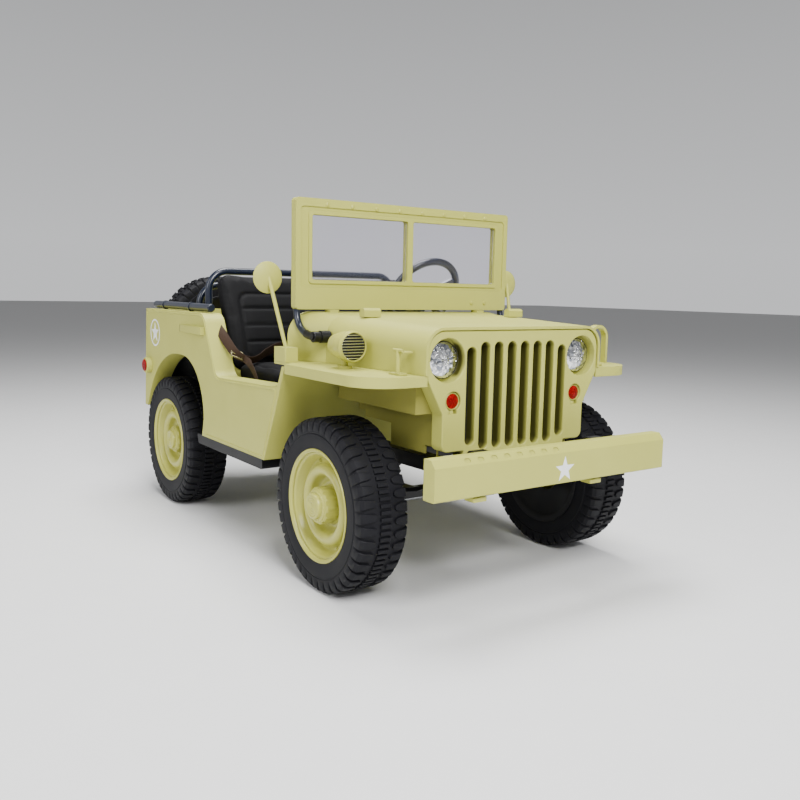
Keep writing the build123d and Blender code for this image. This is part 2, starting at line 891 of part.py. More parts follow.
# Dark plate behind the slots, inside the flange
with BuildPart() as grille_backing:
    backing_half = slot_count * slot_pitch / 2 + backing_margin
    backing_foot_half = grille_apron_half - shell - seat_gap
    backing_step_z = grille_low_z + shell + seat_gap
    backing_low_z = grille_apron_z + shell + seat_gap
    backing_high_z = slot_high_z + backing_margin
    with BuildSketch(Plane.YZ.offset(grille_x - grille_thickness - seat_gap)):
        with BuildLine():
            rounded_outline(
                (
                    (-backing_foot_half, backing_low_z, 0),
                    (-backing_foot_half, backing_step_z, 0),
                    (-backing_half, backing_step_z, 0),
                    (-backing_half, backing_high_z, 0),
                    (backing_half, backing_high_z, 0),
                    (backing_half, backing_step_z, 0),
                    (backing_foot_half, backing_step_z, 0),
                    (backing_foot_half, backing_low_z, 0),
                )
            )
        make_face()
    extrude(amount=-backing_thickness)
grille_backing.part.label = "grille_backing"
export_step(grille_backing.part, "parts/grille_backing.step")

# Headlamps and signal lamps, domed, in their cups
for lens_name, lens_y, lens_z, lens_radius, cup_depth, dome, sink in (
    ("headlamps", lamp_y, lamp_z, lamp_radius, lamp_depth, lamp_dome, lamp_sink),
    ("signal_lamps", signal_y, signal_z, signal_radius, signal_depth, edge_round, seat_gap),
):
    with BuildPart() as lens:
        for side, _ in sides:
            centre = (grille_x - cup_depth + seat_gap, side * lens_y, lens_z)
            with BuildSketch(Plane(origin=centre, x_dir=(1, 0, 0), z_dir=(0, -1, 0))):
                with BuildLine():
                    lens_face = cup_depth - seat_gap - dome - sink
                    Polyline((lens_face + dome, 0), (0, 0), (0, lens_radius), (lens_face, lens_radius))
                    ThreePointArc(
                        (lens_face, lens_radius),
                        (lens_face + cap_middle(lens_radius, dome), lens_radius / 2),
                        (lens_face + dome, 0),
                    )
                make_face()
            revolve(axis=Axis(centre, (1, 0, 0)))
    lens.part.label = lens_name
    export_step(lens.part, f"parts/{lens_name}.step")

# Bumper: a channel open to the rear with a sloped strip along its top, closed at both ends
bumper_back_x = bumper_face_x - bumper_depth
with BuildPart() as bumper:
    bumper_corners = (
        (bumper_back_x, bumper_low_z, 0),
        (bumper_face_x, bumper_low_z, edge_round),
        (bumper_face_x, bumper_high_z - bumper_slope_drop, 0),
        (bumper_face_x - bumper_slope_run, bumper_high_z, edge_round),
        (bumper_back_x, bumper_high_z, 0),
    )
    with BuildSketch(Plane.XZ):
        with BuildLine():
            rounded_outline(bumper_corners)
        make_face()
    extrude(amount=bumper_half, both=True)
    with BuildSketch(Plane.XZ):
        with BuildLine():
            rounded_outline(
                (
                    (bumper_back_x - overrun, bumper_low_z + bumper_wall, 0),
                    (bumper_face_x - bumper_wall, bumper_low_z + bumper_wall, 0),
                    (bumper_face_x - bumper_wall, bumper_high_z - bumper_slope_drop - bumper_wall, 0),
                    (bumper_face_x - bumper_slope_run - bumper_wall, bumper_high_z - bumper_wall, 0),
                    (bumper_back_x - overrun, bumper_high_z - bumper_wall, 0),
                )
            )
        make_face()
    extrude(amount=bumper_half - bumper_end_wall, both=True, mode=Mode.SUBTRACT)
    # Row of shallow dimples along the right part of the sloped strip
    slope = Vector(-bumper_slope_run, 0, bumper_slope_drop).normalized()
    slope_middle = (bumper_face_x - bumper_slope_run / 2, 0, bumper_high_z - bumper_slope_drop / 2)
    slope_normal = Vector(0, 1, 0).cross(slope)
    with BuildSketch(Plane(origin=slope_middle, x_dir=(0, 1, 0), z_dir=slope_normal)):
        for number in range(dimple_count):
            with Locations((dimple_first_y + number * dimple_pitch, 0)):
                SlotOverall(dimple_length, 2 * dimple_radius)
    extrude(amount=-dimple_depth, mode=Mode.SUBTRACT)
bumper.part.label = "bumper"
export_step(bumper.part, "parts/bumper.step")

# Chassis: two rails with a kick-up ahead of the tub and horns to the bumper
rail_high_z = rail_low_z + rail_height
rail_front_high_z = rail_front_low_z + rail_height
horn_front_x = bumper_face_x - bumper_wall - seat_gap
with BuildPart() as chassis:
    for side, _ in sides:
        with BuildSketch(Plane.XZ.offset(-side * rail_y)):
            with BuildLine():
                rounded_outline(
                    (
                        (rear_x(-rail_tail), rail_low_z, edge_round),
                        (front_x(rail_rise_start_back), rail_low_z, 0),
                        (front_x(rail_rise_end_back), rail_front_low_z, 0),
                        (horn_front_x, rail_front_low_z + bumper_wall, 0),
                        (horn_front_x, rail_front_high_z, 0),
                        (front_x(rail_rise_end_back), rail_front_high_z, 0),
                        (front_x(rail_rise_start_back), rail_high_z, 0),
                        (rear_x(-rail_tail), rail_high_z, edge_round),
                    )
                )
            make_face()
        extrude(amount=rail_width / 2, both=True)
        with BuildSketch(Plane.XZ.offset(-side * rail_y)):
            with BuildLine():
                rounded_outline(
                    (
                        (bumper_back_x - horn_length, rail_front_low_z, 0),
                        (bumper_back_x - loose_gap, horn_low_z, 0),
                        (bumper_back_x - seat_gap, horn_low_z, 0),
                        (bumper_back_x - seat_gap, horn_high_z, edge_round),
                        (bumper_back_x - horn_length / 2, horn_high_z, edge_round),
                        (bumper_back_x - horn_length, rail_front_high_z, 0),
                    )
                )
            make_face()
        extrude(amount=rail_width / 2, both=True)
chassis.part.label = "chassis"
export_step(chassis.part, "parts/chassis.step")

# Cross members: square tubes set between the rails
with BuildPart() as cross_members:
    cross_half = rail_y - rail_width / 2 - seat_gap
    cross_low_x = rear_x(-rail_tail) + cross_size
    cross_high_x = front_x(rail_rise_start_back) - cross_size
    for share in cross_shares:
        cross_x = cross_low_x + share * (cross_high_x - cross_low_x)
        with BuildSketch(Plane.XZ):
            with Locations((cross_x, rail_low_z + rail_height / 2)):
                Rectangle(cross_size, cross_size)
        extrude(amount=cross_half, both=True)
    for cross_x in (front_x(0), front_x(grille_face_back) - grille_flange):
        with BuildSketch(Plane.XZ):
            with Locations((cross_x, rail_front_low_z + rail_height / 2)):
                Rectangle(cross_size, cross_size)
        extrude(amount=cross_half, both=True)
cross_members.part.label = "cross_members"
export_step(cross_members.part, "parts/cross_members.step")

# Stepped inner panels with a shelf over the tyres
with BuildPart() as inner_panels:
    shelf_z = toe_mid_z
    shelf_half = wing_inner_front + loose_gap
    panel_rear_x = front_x(toe_back) + seat_gap
    panel_front_x = grille_x - grille_flange - seat_gap
    with BuildSketch(Plane.YZ.offset(panel_rear_x)):
        with BuildLine():
            rounded_outline(
                (
                    (panel_y - panel_thickness, grille_low_z - overrun, 0),
                    (panel_y, grille_low_z - overrun, 0),
                    (panel_y, shelf_z, 0),
                    (shelf_half, shelf_z, 0),
                    (shelf_half, wing_z - wing_plate - seat_gap, 0),
                    (shelf_half - panel_thickness, wing_z - wing_plate - seat_gap, 0),
                    (shelf_half - panel_thickness, shelf_z + panel_thickness, 0),
                    (panel_y - panel_thickness, shelf_z + panel_thickness, 0),
                )
            )
        make_face()
    extrude(amount=panel_front_x - panel_rear_x)
    with BuildSketch(Plane.YZ.offset(panel_front_x)):
        with Locations(((panel_y + shelf_half) / 2, (shelf_z + wing_z - wing_plate - seat_gap) / 2)):
            Rectangle(shelf_half - panel_y, wing_z - wing_plate - seat_gap - shelf_z)
    extrude(amount=-panel_thickness)
    with BuildSketch(Plane.XZ.offset(-panel_y - overrun)):
        for rear_back, front_back, low_z in panel_steps:
            with BuildLine():
                Polyline(
                    (front_x(rear_back), grille_low_z - 2 * overrun),
                    (front_x(front_back), grille_low_z - 2 * overrun),
                    (front_x(front_back), low_z),
                    (front_x(rear_back), low_z),
                    close=True,
                )
            make_face()
    extrude(amount=overrun + 2 * panel_thickness, mode=Mode.SUBTRACT)
    mirror(about=Plane.XZ)
inner_panels.part.label = "inner_panels"
export_step(inner_panels.part, "parts/inner_panels.step")

# Windscreen frame: a slab with a raised border and a bead round the glass
screen_face_x = front_x(screen_face_back)
screen_back_x = screen_face_x - screen_thickness
with BuildPart() as screen_frame:
    screen_mid_z = (screen_low_z + screen_high_z) / 2
    glass_mid_z = (glass_low_z + glass_high_z) / 2
    glass_height = glass_high_z - glass_low_z
    with BuildSketch(Plane.YZ.offset(screen_back_x)):
        with Locations((0, screen_mid_z)):
            RectangleRounded(2 * screen_half, screen_high_z - screen_low_z, screen_corner)
    extrude(amount=screen_thickness)
    with BuildSketch(Plane.YZ.offset(screen_face_x - bead_height)):
        with Locations((0, glass_mid_z)):
            RectangleRounded(
                2 * (screen_half - screen_corner) - bead_width,
                glass_height + 2 * bead_width + 2 * screen_corner,
                screen_corner,
            )
            RectangleRounded(
                2 * (glass_half + bead_width),
                glass_height + 2 * bead_width,
                screen_corner,
                mode=Mode.SUBTRACT,
            )
    extrude(amount=bead_height + overrun, mode=Mode.SUBTRACT)
    pane_width = glass_half - post_width / 2
    with BuildSketch(Plane.YZ.offset(screen_back_x - overrun)):
        for side, _ in sides:
            with Locations((side * (glass_half + post_width / 2) / 2, glass_mid_z)):
                RectangleRounded(pane_width, glass_height, glass_corner)
    extrude(amount=screen_thickness + 2 * overrun, mode=Mode.SUBTRACT)
screen_frame.part.label = "screen_frame"
export_step(screen_frame.part, "parts/screen_frame.step")

with BuildPart() as screen_glass:
    with BuildSketch(Plane.YZ.offset(screen_back_x + screen_thickness / 2)):
        for side, _ in sides:
            with Locations((side * (glass_half + post_width / 2) / 2, glass_mid_z)):
                RectangleRounded(pane_width - 2 * seat_gap, glass_height - 2 * seat_gap, glass_corner)
    extrude(amount=glass_thickness)
screen_glass.part.label = "screen_glass"
export_step(screen_glass.part, "parts/screen_glass.step")

# Bent arms under the frame's corners, with eyes round the pivot pins
pivot_x = front_x(pivot_back)
arm_x = screen_back_x + screen_thickness / 2
with BuildPart() as screen_arms:
    with BuildLine(Plane.XZ.offset(-arm_y)) as arm_path:
        FilletPolyline(
            (arm_x, screen_low_z),
            (arm_x, arm_knee_z),
            (pivot_x, pivot_z),
            radius=arm_bend,
        )
    with BuildSketch(Plane(origin=arm_path.line @ 0, z_dir=arm_path.line % 0)):
        Circle(arm_radius)
    sweep()
    with BuildSketch(Plane.XZ.offset(-arm_y)):
        with Locations((pivot_x, pivot_z)):
            Circle(arm_eye_radius)
    extrude(amount=arm_eye_half, both=True)
    with BuildSketch(Plane.XZ.offset(-arm_y)):
        with Locations((pivot_x, pivot_z)):
            Circle(hinge_pin_radius + running_gap)
    extrude(amount=arm_eye_radius, both=True, mode=Mode.SUBTRACT)
    mirror(about=Plane.XZ)
screen_arms.part.label = "screen_arms"
export_step(screen_arms.part, "parts/screen_arms.step")

# Pivots: a boss on each hood side that carries the pin and its head
with BuildPart() as screen_pivots:
    boss_run = hood_rear_back - pivot_back - pivot_boss_radius
    pivot_share = boss_run / (hood_rear_back - grille_face_back + hood_lip)
    boss_foot_y = hood_rear_half - (hood_rear_half - hood_front_half) * pivot_share + seat_gap
    boss_end_y = arm_y - arm_eye_half - pivot_side_gap
    pin_end_y = arm_y + arm_eye_half + pivot_side_gap
    for low_y, high_y, radius in (
        (boss_foot_y, boss_end_y, pivot_boss_radius),
        (boss_end_y, pin_end_y, hinge_pin_radius),
        (pin_end_y, pin_end_y + hinge_head, hinge_head_radius),
    ):
        with BuildSketch(Plane.XZ.offset(-low_y)):
            with Locations((pivot_x, pivot_z)):
                Circle(radius)
        extrude(amount=low_y - high_y)
    mirror(about=Plane.XZ)
screen_pivots.part.label = "screen_pivots"
export_step(screen_pivots.part, "parts/screen_pivots.step")

# Seat box over the battery, and the two cushions of the bench
with BuildPart() as seat_box:
    box_rear_x = rear_x(seat_rear)
    box_front_x = rear_x(seat_front - seat_box_inset)
    box_length = box_front_x - box_rear_x
    box_half = seat_half - seat_gap
    floor_z = tub_low_z + tub_skin
    with BuildSketch(Plane.XY.offset(floor_z + seat_gap)):
        with Locations((box_rear_x + box_length / 2, 0)):
            Rectangle(box_length, 2 * box_half)
    extrude(amount=cushion_low_z - floor_z - 2 * seat_gap)
    fillet(seat_box.edges().filter_by(Axis.Y).group_by(Axis.X)[-1].sort_by(Axis.Z)[-1], radius=2 * edge_round)
    with BuildSketch(Plane.XY.offset(floor_z - overrun)):
        with Locations((box_rear_x + box_length / 2, 0)):
            Rectangle(box_length - 2 * seat_box_wall, 2 * (box_half - seat_box_wall))
    extrude(amount=cushion_low_z - floor_z + overrun - seat_box_wall, mode=Mode.SUBTRACT)
seat_box.part.label = "seat_box"
export_step(seat_box.part, "parts/seat_box.step")

with BuildPart() as battery:
    with BuildSketch(Plane.XY.offset(floor_z + seat_gap)):
        with Locations((rear_x(battery_x) + battery_length / 2, 0)):
            Rectangle(battery_length, 2 * battery_half)
    extrude(amount=battery_height)
battery.part.label = "battery"
export_step(battery.part, "parts/battery.step")

with BuildPart() as seat_cushion:
    with BuildSketch(Plane.XZ):
        with BuildLine():
            rounded_outline(
                (
                    (rear_x(back_foot_front) + seat_gap, cushion_low_z, edge_round),
                    (rear_x(seat_front), cushion_low_z, cushion_round / 2),
                    (rear_x(seat_front), cushion_high_z, cushion_round),
                    (rear_x(back_foot_front) + seat_gap, cushion_high_z, edge_round),
                )
            )
        make_face()
    extrude(amount=seat_half, both=True)
seat_cushion.part.label = "seat_cushion"
export_step(seat_cushion.part, "parts/seat_cushion.step")

# The back's front face leans on one line, from the cushion's foot up to its top edge
back_low_share = (deck_z + seat_gap - cushion_low_z) / (back_high_z - cushion_low_z)
back_low_front = back_foot_front - back_low_share * (back_foot_front - back_high_front)

with BuildPart() as seat_back:
    with BuildSketch(Plane.XZ):
        with BuildLine():
            rounded_outline(
                (
                    (rear_x(back_low_rear), deck_z + seat_gap, edge_round),
                    (rear_x(back_low_front), deck_z + seat_gap, 0),
                    (rear_x(back_high_front), back_high_z, cushion_round),
                    (rear_x(back_high_rear), back_high_z, cushion_round),
                )
            )
        make_face()
    extrude(amount=seat_half, both=True)
    with BuildSketch(Plane.YZ.offset(rear_x(0))):
        with Locations((0, back_high_z / 2)):
            RectangleRounded(2 * seat_half, back_high_z, cushion_round)
    extrude(amount=wheelbase / 2, mode=Mode.INTERSECT)
seat_back.part.label = "seat_back"
export_step(seat_back.part, "parts/seat_back.step")

# Tube hoops behind the seat, and the rails along the tub's top edges
for hoop_name, place, half, high_z in (
    ("seat_hoop", hoop_x, hoop_half, hoop_z),
    ("rear_hoop", rear_hoop_x, rear_hoop_half, rear_hoop_z),
):
    with BuildPart() as hoop:
        with BuildLine(Plane.YZ.offset(rear_x(place))) as hoop_path:
            FilletPolyline(
                (-half, deck_z + seat_gap),
                (-half, high_z),
                (half, high_z),
                (half, deck_z + seat_gap),
                radius=hoop_bend,
            )
        with BuildSketch(Plane(origin=hoop_path.line @ 0, z_dir=hoop_path.line % 0)):
            Circle(hoop_radius)
        sweep()
    hoop.part.label = hoop_name
    export_step(hoop.part, f"parts/{hoop_name}.step")

with BuildPart() as top_rails:
    rail_length = top_rail_rear + top_rail_front
    rail_z = tub_top_z + top_rail_radius + top_rail_ring + seat_gap
    with BuildSketch(Plane.YZ.offset(rear_x(-top_rail_rear))):
        with Locations((top_rail_y, rail_z)):
            Circle(top_rail_radius)
    extrude(amount=rail_length)
    fillet(top_rails.edges().group_by(Axis.X)[0] + top_rails.edges().group_by(Axis.X)[-1], radius=edge_round)
    for share in top_rail_ring_shares:
        with BuildSketch(Plane.YZ.offset(rear_x(-top_rail_rear) + share * rail_length)):
            with Locations((top_rail_y, rail_z)):
                Circle(top_rail_radius + top_rail_ring)
        extrude(amount=top_rail_ring_width)
    mirror(about=Plane.XZ)
top_rails.part.label = "top_rails"
export_step(top_rails.part, "parts/top_rails.step")

# Steering wheel and its column, leaning back
with BuildPart() as steering_wheel:
    with BuildSketch(Plane(origin=wheel_centre, x_dir=(0, 1, 0), z_dir=wheel_plane.y_dir)):
        with Locations((wheel_ring_radius, 0)):
            Circle(wheel_rim_thickness)
    revolve(axis=Axis(wheel_centre, column_axis))
    with BuildSketch(wheel_plane.offset(-spoke_thickness / 2)):
        Circle(wheel_hub_radius)
    extrude(amount=wheel_hub_length)
    with BuildSketch(wheel_plane):
        with PolarLocations(wheel_ring_radius / 2, spoke_count, start_angle=-90):
            Rectangle(wheel_ring_radius, spoke_width)
    extrude(amount=spoke_thickness / 2, both=True)
steering_wheel.part.label = "steering_wheel"
export_step(steering_wheel.part, "parts/steering_wheel.step")

with BuildPart() as steering_column:
    with BuildSketch(column_plane):
        Circle(column_radius)
    extrude(amount=column_length)
steering_column.part.label = "steering_column"
export_step(steering_column.part, "parts/steering_column.step")

# Mirrors: dished discs on thin stalks from blocks beside the cowl
block_mid_x = front_x((mirror_block_rear + mirror_block_front) / 2)
block_mid_y = (mirror_block_inner + mirror_block_outer) / 2
block_high_z = wing_z + seat_gap + mirror_block_height
with BuildPart() as mirrors:
    with BuildSketch(Plane.XY.offset(wing_z + seat_gap)):
        with Locations((block_mid_x, block_mid_y)):
            RectangleRounded(
                mirror_block_rear - mirror_block_front,
                mirror_block_outer - mirror_block_inner,
                edge_round,
            )
    extrude(amount=mirror_block_height)
    stalk_foot = Vector(block_mid_x, block_mid_y, block_high_z - stalk_radius)
    mirror_centre = Vector(front_x(mirror_back), mirror_y, mirror_z)
    with BuildLine() as stalk_path:
        Line(stalk_foot, mirror_centre - Vector(mirror_skin, 0, 0))
    with BuildSketch(Plane(origin=stalk_path.line @ 0, z_dir=stalk_path.line % 0)):
        Circle(stalk_radius)
    sweep()
    with BuildSketch(Plane(origin=mirror_centre, x_dir=(1, 0, 0), z_dir=(0, -1, 0))):
        with BuildLine():
            dish_middle = cap_middle(mirror_radius, mirror_dish) - mirror_dish
            ThreePointArc((0, 0), (dish_middle, mirror_radius / 2), (-mirror_dish, mirror_radius))
            Polyline(
                (-mirror_dish, mirror_radius),
                (-mirror_dish - mirror_skin, mirror_radius - mirror_skin),
                (-mirror_dish - mirror_skin, 0),
                (0, 0),
            )
        make_face()
    revolve(axis=Axis(mirror_centre, (1, 0, 0)))
    mirror(about=Plane.XZ)
mirrors.part.label = "mirrors"
export_step(mirrors.part, "parts/mirrors.step")

# Round lamp on the right wing, tapering to the rear, on a foot
siren_face = Vector(front_x(siren_face_back), -siren_y, siren_z)
with BuildPart() as siren:
    with BuildSketch(Plane(origin=siren_face, x_dir=(1, 0, 0), z_dir=(0, -1, 0))):
        with BuildLine():
            Polyline(
                (0, 0),
                (0, siren_radius - edge_round),
                (-edge_round, siren_radius),
                (-2 * edge_round, siren_radius),
                (-2 * edge_round, siren_radius - edge_round),
                (-siren_length / 2, siren_radius - edge_round),
                (-siren_length, siren_tail_radius),
                (-siren_length, 0),
                close=True,
            )
        make_face()
    revolve(axis=Axis(siren_face, (1, 0, 0)))
    siren_foot_z = wing_z + seat_gap
    with BuildSketch(Plane.XY.offset(siren_foot_z)):
        with Locations((siren_face.X - siren_length / 2, -siren_y)):
            Circle(siren_base_radius)
    extrude(amount=siren_base_height)
    with BuildSketch(Plane.XY.offset(siren_foot_z)):
        with Locations((siren_face.X - siren_length / 2, -siren_y)):
            Circle(siren_foot_radius)
    extrude(amount=siren_z - siren_foot_z - siren_radius / 2)
siren.part.label = "wing_siren"
export_step(siren.part, "parts/wing_siren.step")

# Guard hoop on the left wing: a strip bent over a small lamp
guard_half = (guard_high_y - guard_low_y) / 2
guard_mid_y = (guard_high_y + guard_low_y) / 2
guard_foot_z = wing_z + seat_gap
with BuildPart() as lamp_guard:
    with BuildSketch(Plane.YZ.offset(front_x(guard_back) - guard_strip / 2)):
        with BuildLine():
            rounded_outline(
                (
                    (guard_mid_y - guard_half, guard_foot_z, 0),
                    (guard_mid_y - guard_half, guard_high_z, guard_half - seat_gap),
                    (guard_mid_y + guard_half, guard_high_z, guard_half - seat_gap),
                    (guard_mid_y + guard_half, guard_foot_z, 0),
                    (guard_mid_y + guard_half - guard_thickness, guard_foot_z, 0),
                    (
                        guard_mid_y + guard_half - guard_thickness,
                        guard_high_z - guard_thickness,
                        guard_half - guard_thickness - seat_gap,
                    ),
                    (
                        guard_mid_y - guard_half + guard_thickness,
                        guard_high_z - guard_thickness,
                        guard_half - guard_thickness - seat_gap,
                    ),
                    (guard_mid_y - guard_half + guard_thickness, guard_foot_z, 0),
                )
            )
        make_face()
    extrude(amount=guard_strip)
lamp_guard.part.label = "lamp_guard"
export_step(lamp_guard.part, "parts/lamp_guard.step")

# Hood catches: a post on a foot, a cross bar, and a hook that reaches the hood's side
with BuildPart() as hood_catches:
    catch_x = front_x(catch_back)
    catch_foot_z = wing_z + seat_gap
    catch_run_share = (hood_rear_back - catch_back) / (hood_rear_back - grille_face_back + hood_lip)
    catch_hood_y = hood_rear_half - (hood_rear_half - hood_front_half) * catch_run_share + seat_gap
    with BuildSketch(Plane.XY.offset(catch_foot_z)):
        with Locations((catch_x, catch_y)):
            RectangleRounded(2 * catch_base, catch_base, edge_round)
    extrude(amount=catch_base_height)
    with BuildSketch(Plane.XY.offset(catch_foot_z)):
        with Locations((catch_x, catch_y)):
            Circle(catch_post_radius)
    extrude(amount=catch_high_z - catch_foot_z)
    with BuildSketch(Plane.YZ.offset(catch_x)):
        with Locations((catch_y, catch_high_z)):
            Circle(catch_bar_radius)
    extrude(amount=catch_bar_half, both=True)
    hook_z = catch_high_z - catch_bar_radius
    hook_length = catch_y - catch_hood_y - edge_round
    with BuildSketch(Plane.XY.offset(hook_z)):
        with Locations((catch_x + catch_bar_half / 2, catch_y - hook_length / 2)):
            Rectangle(catch_bar_half, hook_length)
    extrude(amount=catch_bar_radius / 2, both=True)
    mirror(about=Plane.XZ)
hood_catches.part.label = "hood_catches"
export_step(hood_catches.part, "parts/hood_catches.step")

# Side markers near the tail: a round bezel and a red lens
for marker_name, low_reach, high_reach, radius in (
    ("marker_bezels", seat_gap, marker_reach, marker_radius),
    ("marker_lenses", marker_reach + seat_gap, marker_reach + marker_lens_reach, marker_lens_radius),
):
    with BuildPart() as marker:
        with BuildSketch(Plane.XZ.offset(-body_half - low_reach)):
            with Locations((rear_x(-marker_x), marker_z)):
                Circle(radius)
        extrude(amount=low_reach - high_reach)
        fillet(marker.edges().group_by(Axis.Y)[-1], radius=edge_round)
        mirror(about=Plane.XZ)
    marker.part.label = marker_name
    export_step(marker.part, f"parts/{marker_name}.step")

# Wedge grips on the tub's sides
with BuildPart() as side_grips:
    with BuildSketch(Plane.XY.offset(grip_low_z)):
        with BuildLine():
            Polyline(
                (rear_x(grip_rear), body_half + seat_gap),
                (rear_x(grip_front), body_half + seat_gap),
                (rear_x(grip_front), body_half + grip_reach),
                (rear_x(grip_front - grip_high_z + grip_low_z), body_half + grip_reach),
                close=True,
            )
        make_face()
    extrude(amount=grip_high_z - grip_low_z)
    mirror(about=Plane.XZ)
side_grips.part.label = "side_grips"
export_step(side_grips.part, "parts/side_grips.step")

# Front axle beam with sleeves for the upright pins
with BuildPart() as front_axle:
    with BuildSketch(Plane.XZ):
        with Locations((front_axle_x, axle_z)):
            RectangleRounded(beam_size, beam_size, edge_round)
    extrude(amount=kingpin_y - sleeve_radius / 2, both=True)
    for side, _ in sides:
        with BuildSketch(Plane.XY.offset(axle_z - sleeve_height / 2)):
            with Locations((front_axle_x, side * kingpin_y)):
                Circle(sleeve_radius)
        extrude(amount=sleeve_height)
    for side, _ in sides:
        with BuildSketch(Plane.XY.offset(axle_z - sleeve_height)):
            with Locations((front_axle_x, side * kingpin_y)):
                Circle(kingpin_radius + running_gap)
        extrude(amount=2 * sleeve_height, mode=Mode.SUBTRACT)
front_axle.part.label = "front_axle"
export_step(front_axle.part, "parts/front_axle.step")

# Knuckles: pin, two ears, an upright, the spindle and a steering arm to the rear
bar_low_z = axle_z - sleeve_height / 2 - seat_gap - ear_height
upright_inner_y = kingpin_y + sleeve_radius + upright_gap
upright_outer_y = upright_inner_y + upright_thickness
barrel_inner_y = body_half - disc_depth - disc_thickness - hub_barrel_length
for side, side_name in sides:
    with BuildPart() as knuckle:
        for ear_z, ear_step in (
            (axle_z - sleeve_height / 2 - seat_gap, -ear_height),
            (axle_z + sleeve_height / 2 + seat_gap, ear_height),
        ):
            with BuildSketch(Plane.XY.offset(ear_z)):
                with Locations((front_axle_x, side * kingpin_y)):
                    Circle(ear_half_width)
                with Locations((front_axle_x, side * (kingpin_y + upright_outer_y) / 2)):
                    Rectangle(2 * ear_half_width, upright_outer_y - kingpin_y)
            extrude(amount=ear_step)
        with BuildSketch(Plane.XY.offset(bar_low_z)):
            with Locations((front_axle_x, side * kingpin_y)):
                Circle(kingpin_radius)
        extrude(amount=sleeve_height + 2 * (ear_height + seat_gap))
        with BuildSketch(Plane.XY.offset(bar_low_z)):
            with Locations((front_axle_x, side * (upright_inner_y + upright_outer_y) / 2)):
                Rectangle(2 * ear_half_width, upright_thickness)
        extrude(amount=sleeve_height + 2 * (ear_height + seat_gap))
        for low_y, high_y, radius in (
            (upright_inner_y, barrel_inner_y - seat_gap, spindle_radius + edge_round),
            (upright_inner_y, hub_bore_ends["front"] - edge_round, spindle_radius),
        ):
            with BuildSketch(Plane.XZ.offset(-side * low_y)):
                with Locations((front_axle_x, axle_z)):
                    Circle(radius)
            extrude(amount=-side * (high_y - low_y))
        with BuildSketch(Plane.XY.offset(bar_low_z)):
            with Locations((front_axle_x - steer_arm_length / 2, side * kingpin_y)):
                Rectangle(steer_arm_length, 2 * tie_pin_radius + edge_round)
            with Locations((front_axle_x - steer_arm_length, side * kingpin_y)):
                Circle(tie_eye_radius)
        extrude(amount=steer_arm_height)
    knuckle.part.label = f"knuckle_{side_name}"
    export_step(knuckle.part, f"parts/knuckle_{side_name}.step")

# Tie rod just below the steering arms
with BuildPart() as tie_rod:
    rod_high_z = bar_low_z - seat_gap
    rod_x = front_axle_x - steer_arm_length
    with BuildSketch(Plane.XZ):
        with Locations((rod_x, rod_high_z - steer_arm_height / 2)):
            Circle(tie_rod_radius)
    extrude(amount=kingpin_y, both=True)
    for side, _ in sides:
        with BuildSketch(Plane.XY.offset(rod_high_z)):
            with Locations((rod_x, side * kingpin_y)):
                Circle(tie_eye_radius)
        extrude(amount=-steer_arm_height)
    with BuildSketch(Plane.XY.offset(rod_high_z)):
        with Locations((rod_x, 0)):
            Rectangle(4 * tie_eye_radius, 4 * kingpin_y)
    extrude(amount=overrun, mode=Mode.SUBTRACT)
tie_rod.part.label = "tie_rod"
export_step(tie_rod.part, "parts/tie_rod.step")

# Rear axle tube with spindles
with BuildPart() as rear_axle:
    for side, _ in sides:
        for high_y, radius in (
            (gearbox_outer, axle_tube_radius),
            (barrel_inner_y - seat_gap, spindle_radius + edge_round),
            (hub_bore_ends["rear"] - edge_round, spindle_radius),
        ):
            with BuildSketch(Plane.XZ):
                with Locations((rear_axle_x, axle_z)):
                    Circle(radius)
            extrude(amount=-side * high_y)
        # Block that ties the tube to the rail above it
        with BuildSketch(Plane.XY.offset(axle_z)):
            with Locations((rear_axle_x - axle_tube_radius / 2, side * rail_y)):
                Rectangle(axle_tube_radius, rail_width)
        extrude(amount=rail_low_z - seat_gap - axle_z)
rear_axle.part.label = "rear_axle"
export_step(rear_axle.part, "parts/rear_axle.step")

# Gearboxes round the axle tube, each with its motor pointing inward
with BuildPart() as gearboxes:
    with BuildSketch(Plane.XZ.offset(-gearbox_inner)):
        with Locations((rear_axle_x, axle_z)):
            RectangleRounded(2 * gearbox_half_length, gearbox_height, gearbox_half_length / 2)
    extrude(amount=gearbox_inner - gearbox_outer)
    with BuildSketch(Plane.XZ.offset(-gearbox_inner)):
        with Locations((rear_axle_x + gearbox_half_length - motor_radius, axle_z)):
            Circle(motor_radius)
    extrude(amount=motor_length)
    with BuildSketch(Plane.XZ):
        with Locations((rear_axle_x, axle_z)):
            Circle(axle_tube_radius + seat_gap)
    extrude(amount=body_half, both=True, mode=Mode.SUBTRACT)
    mirror(about=Plane.XZ)
gearboxes.part.label = "gearboxes"
export_step(gearboxes.part, "parts/gearboxes.step")

# Upright springs from the gearboxes to the roofs of the wheel boxes
with BuildPart() as rear_springs:
    spring_low_z = axle_z + gearbox_height / 2 + seat_gap
    arch_turn = math.atan2(arch_top_z - tub_tail_z, arch_rear - arch_knee)
    arch_bend_run = arch_round * math.tan(arch_turn / 2) - arch_knee - spring_shift + spring_radius
    arch_drop = arch_round - math.sqrt(arch_round**2 - arch_bend_run**2)
    spring_high_z = arch_top_z - arch_drop - seat_gap
    with BuildSketch(Plane.XY.offset(spring_low_z)):
        with Locations((rear_axle_x + spring_shift, spring_y)):
            Circle(spring_radius)
    extrude(amount=spring_high_z - spring_low_z)
    mirror(about=Plane.XZ)
rear_springs.part.label = "rear_springs"
export_step(rear_springs.part, "parts/rear_springs.step")

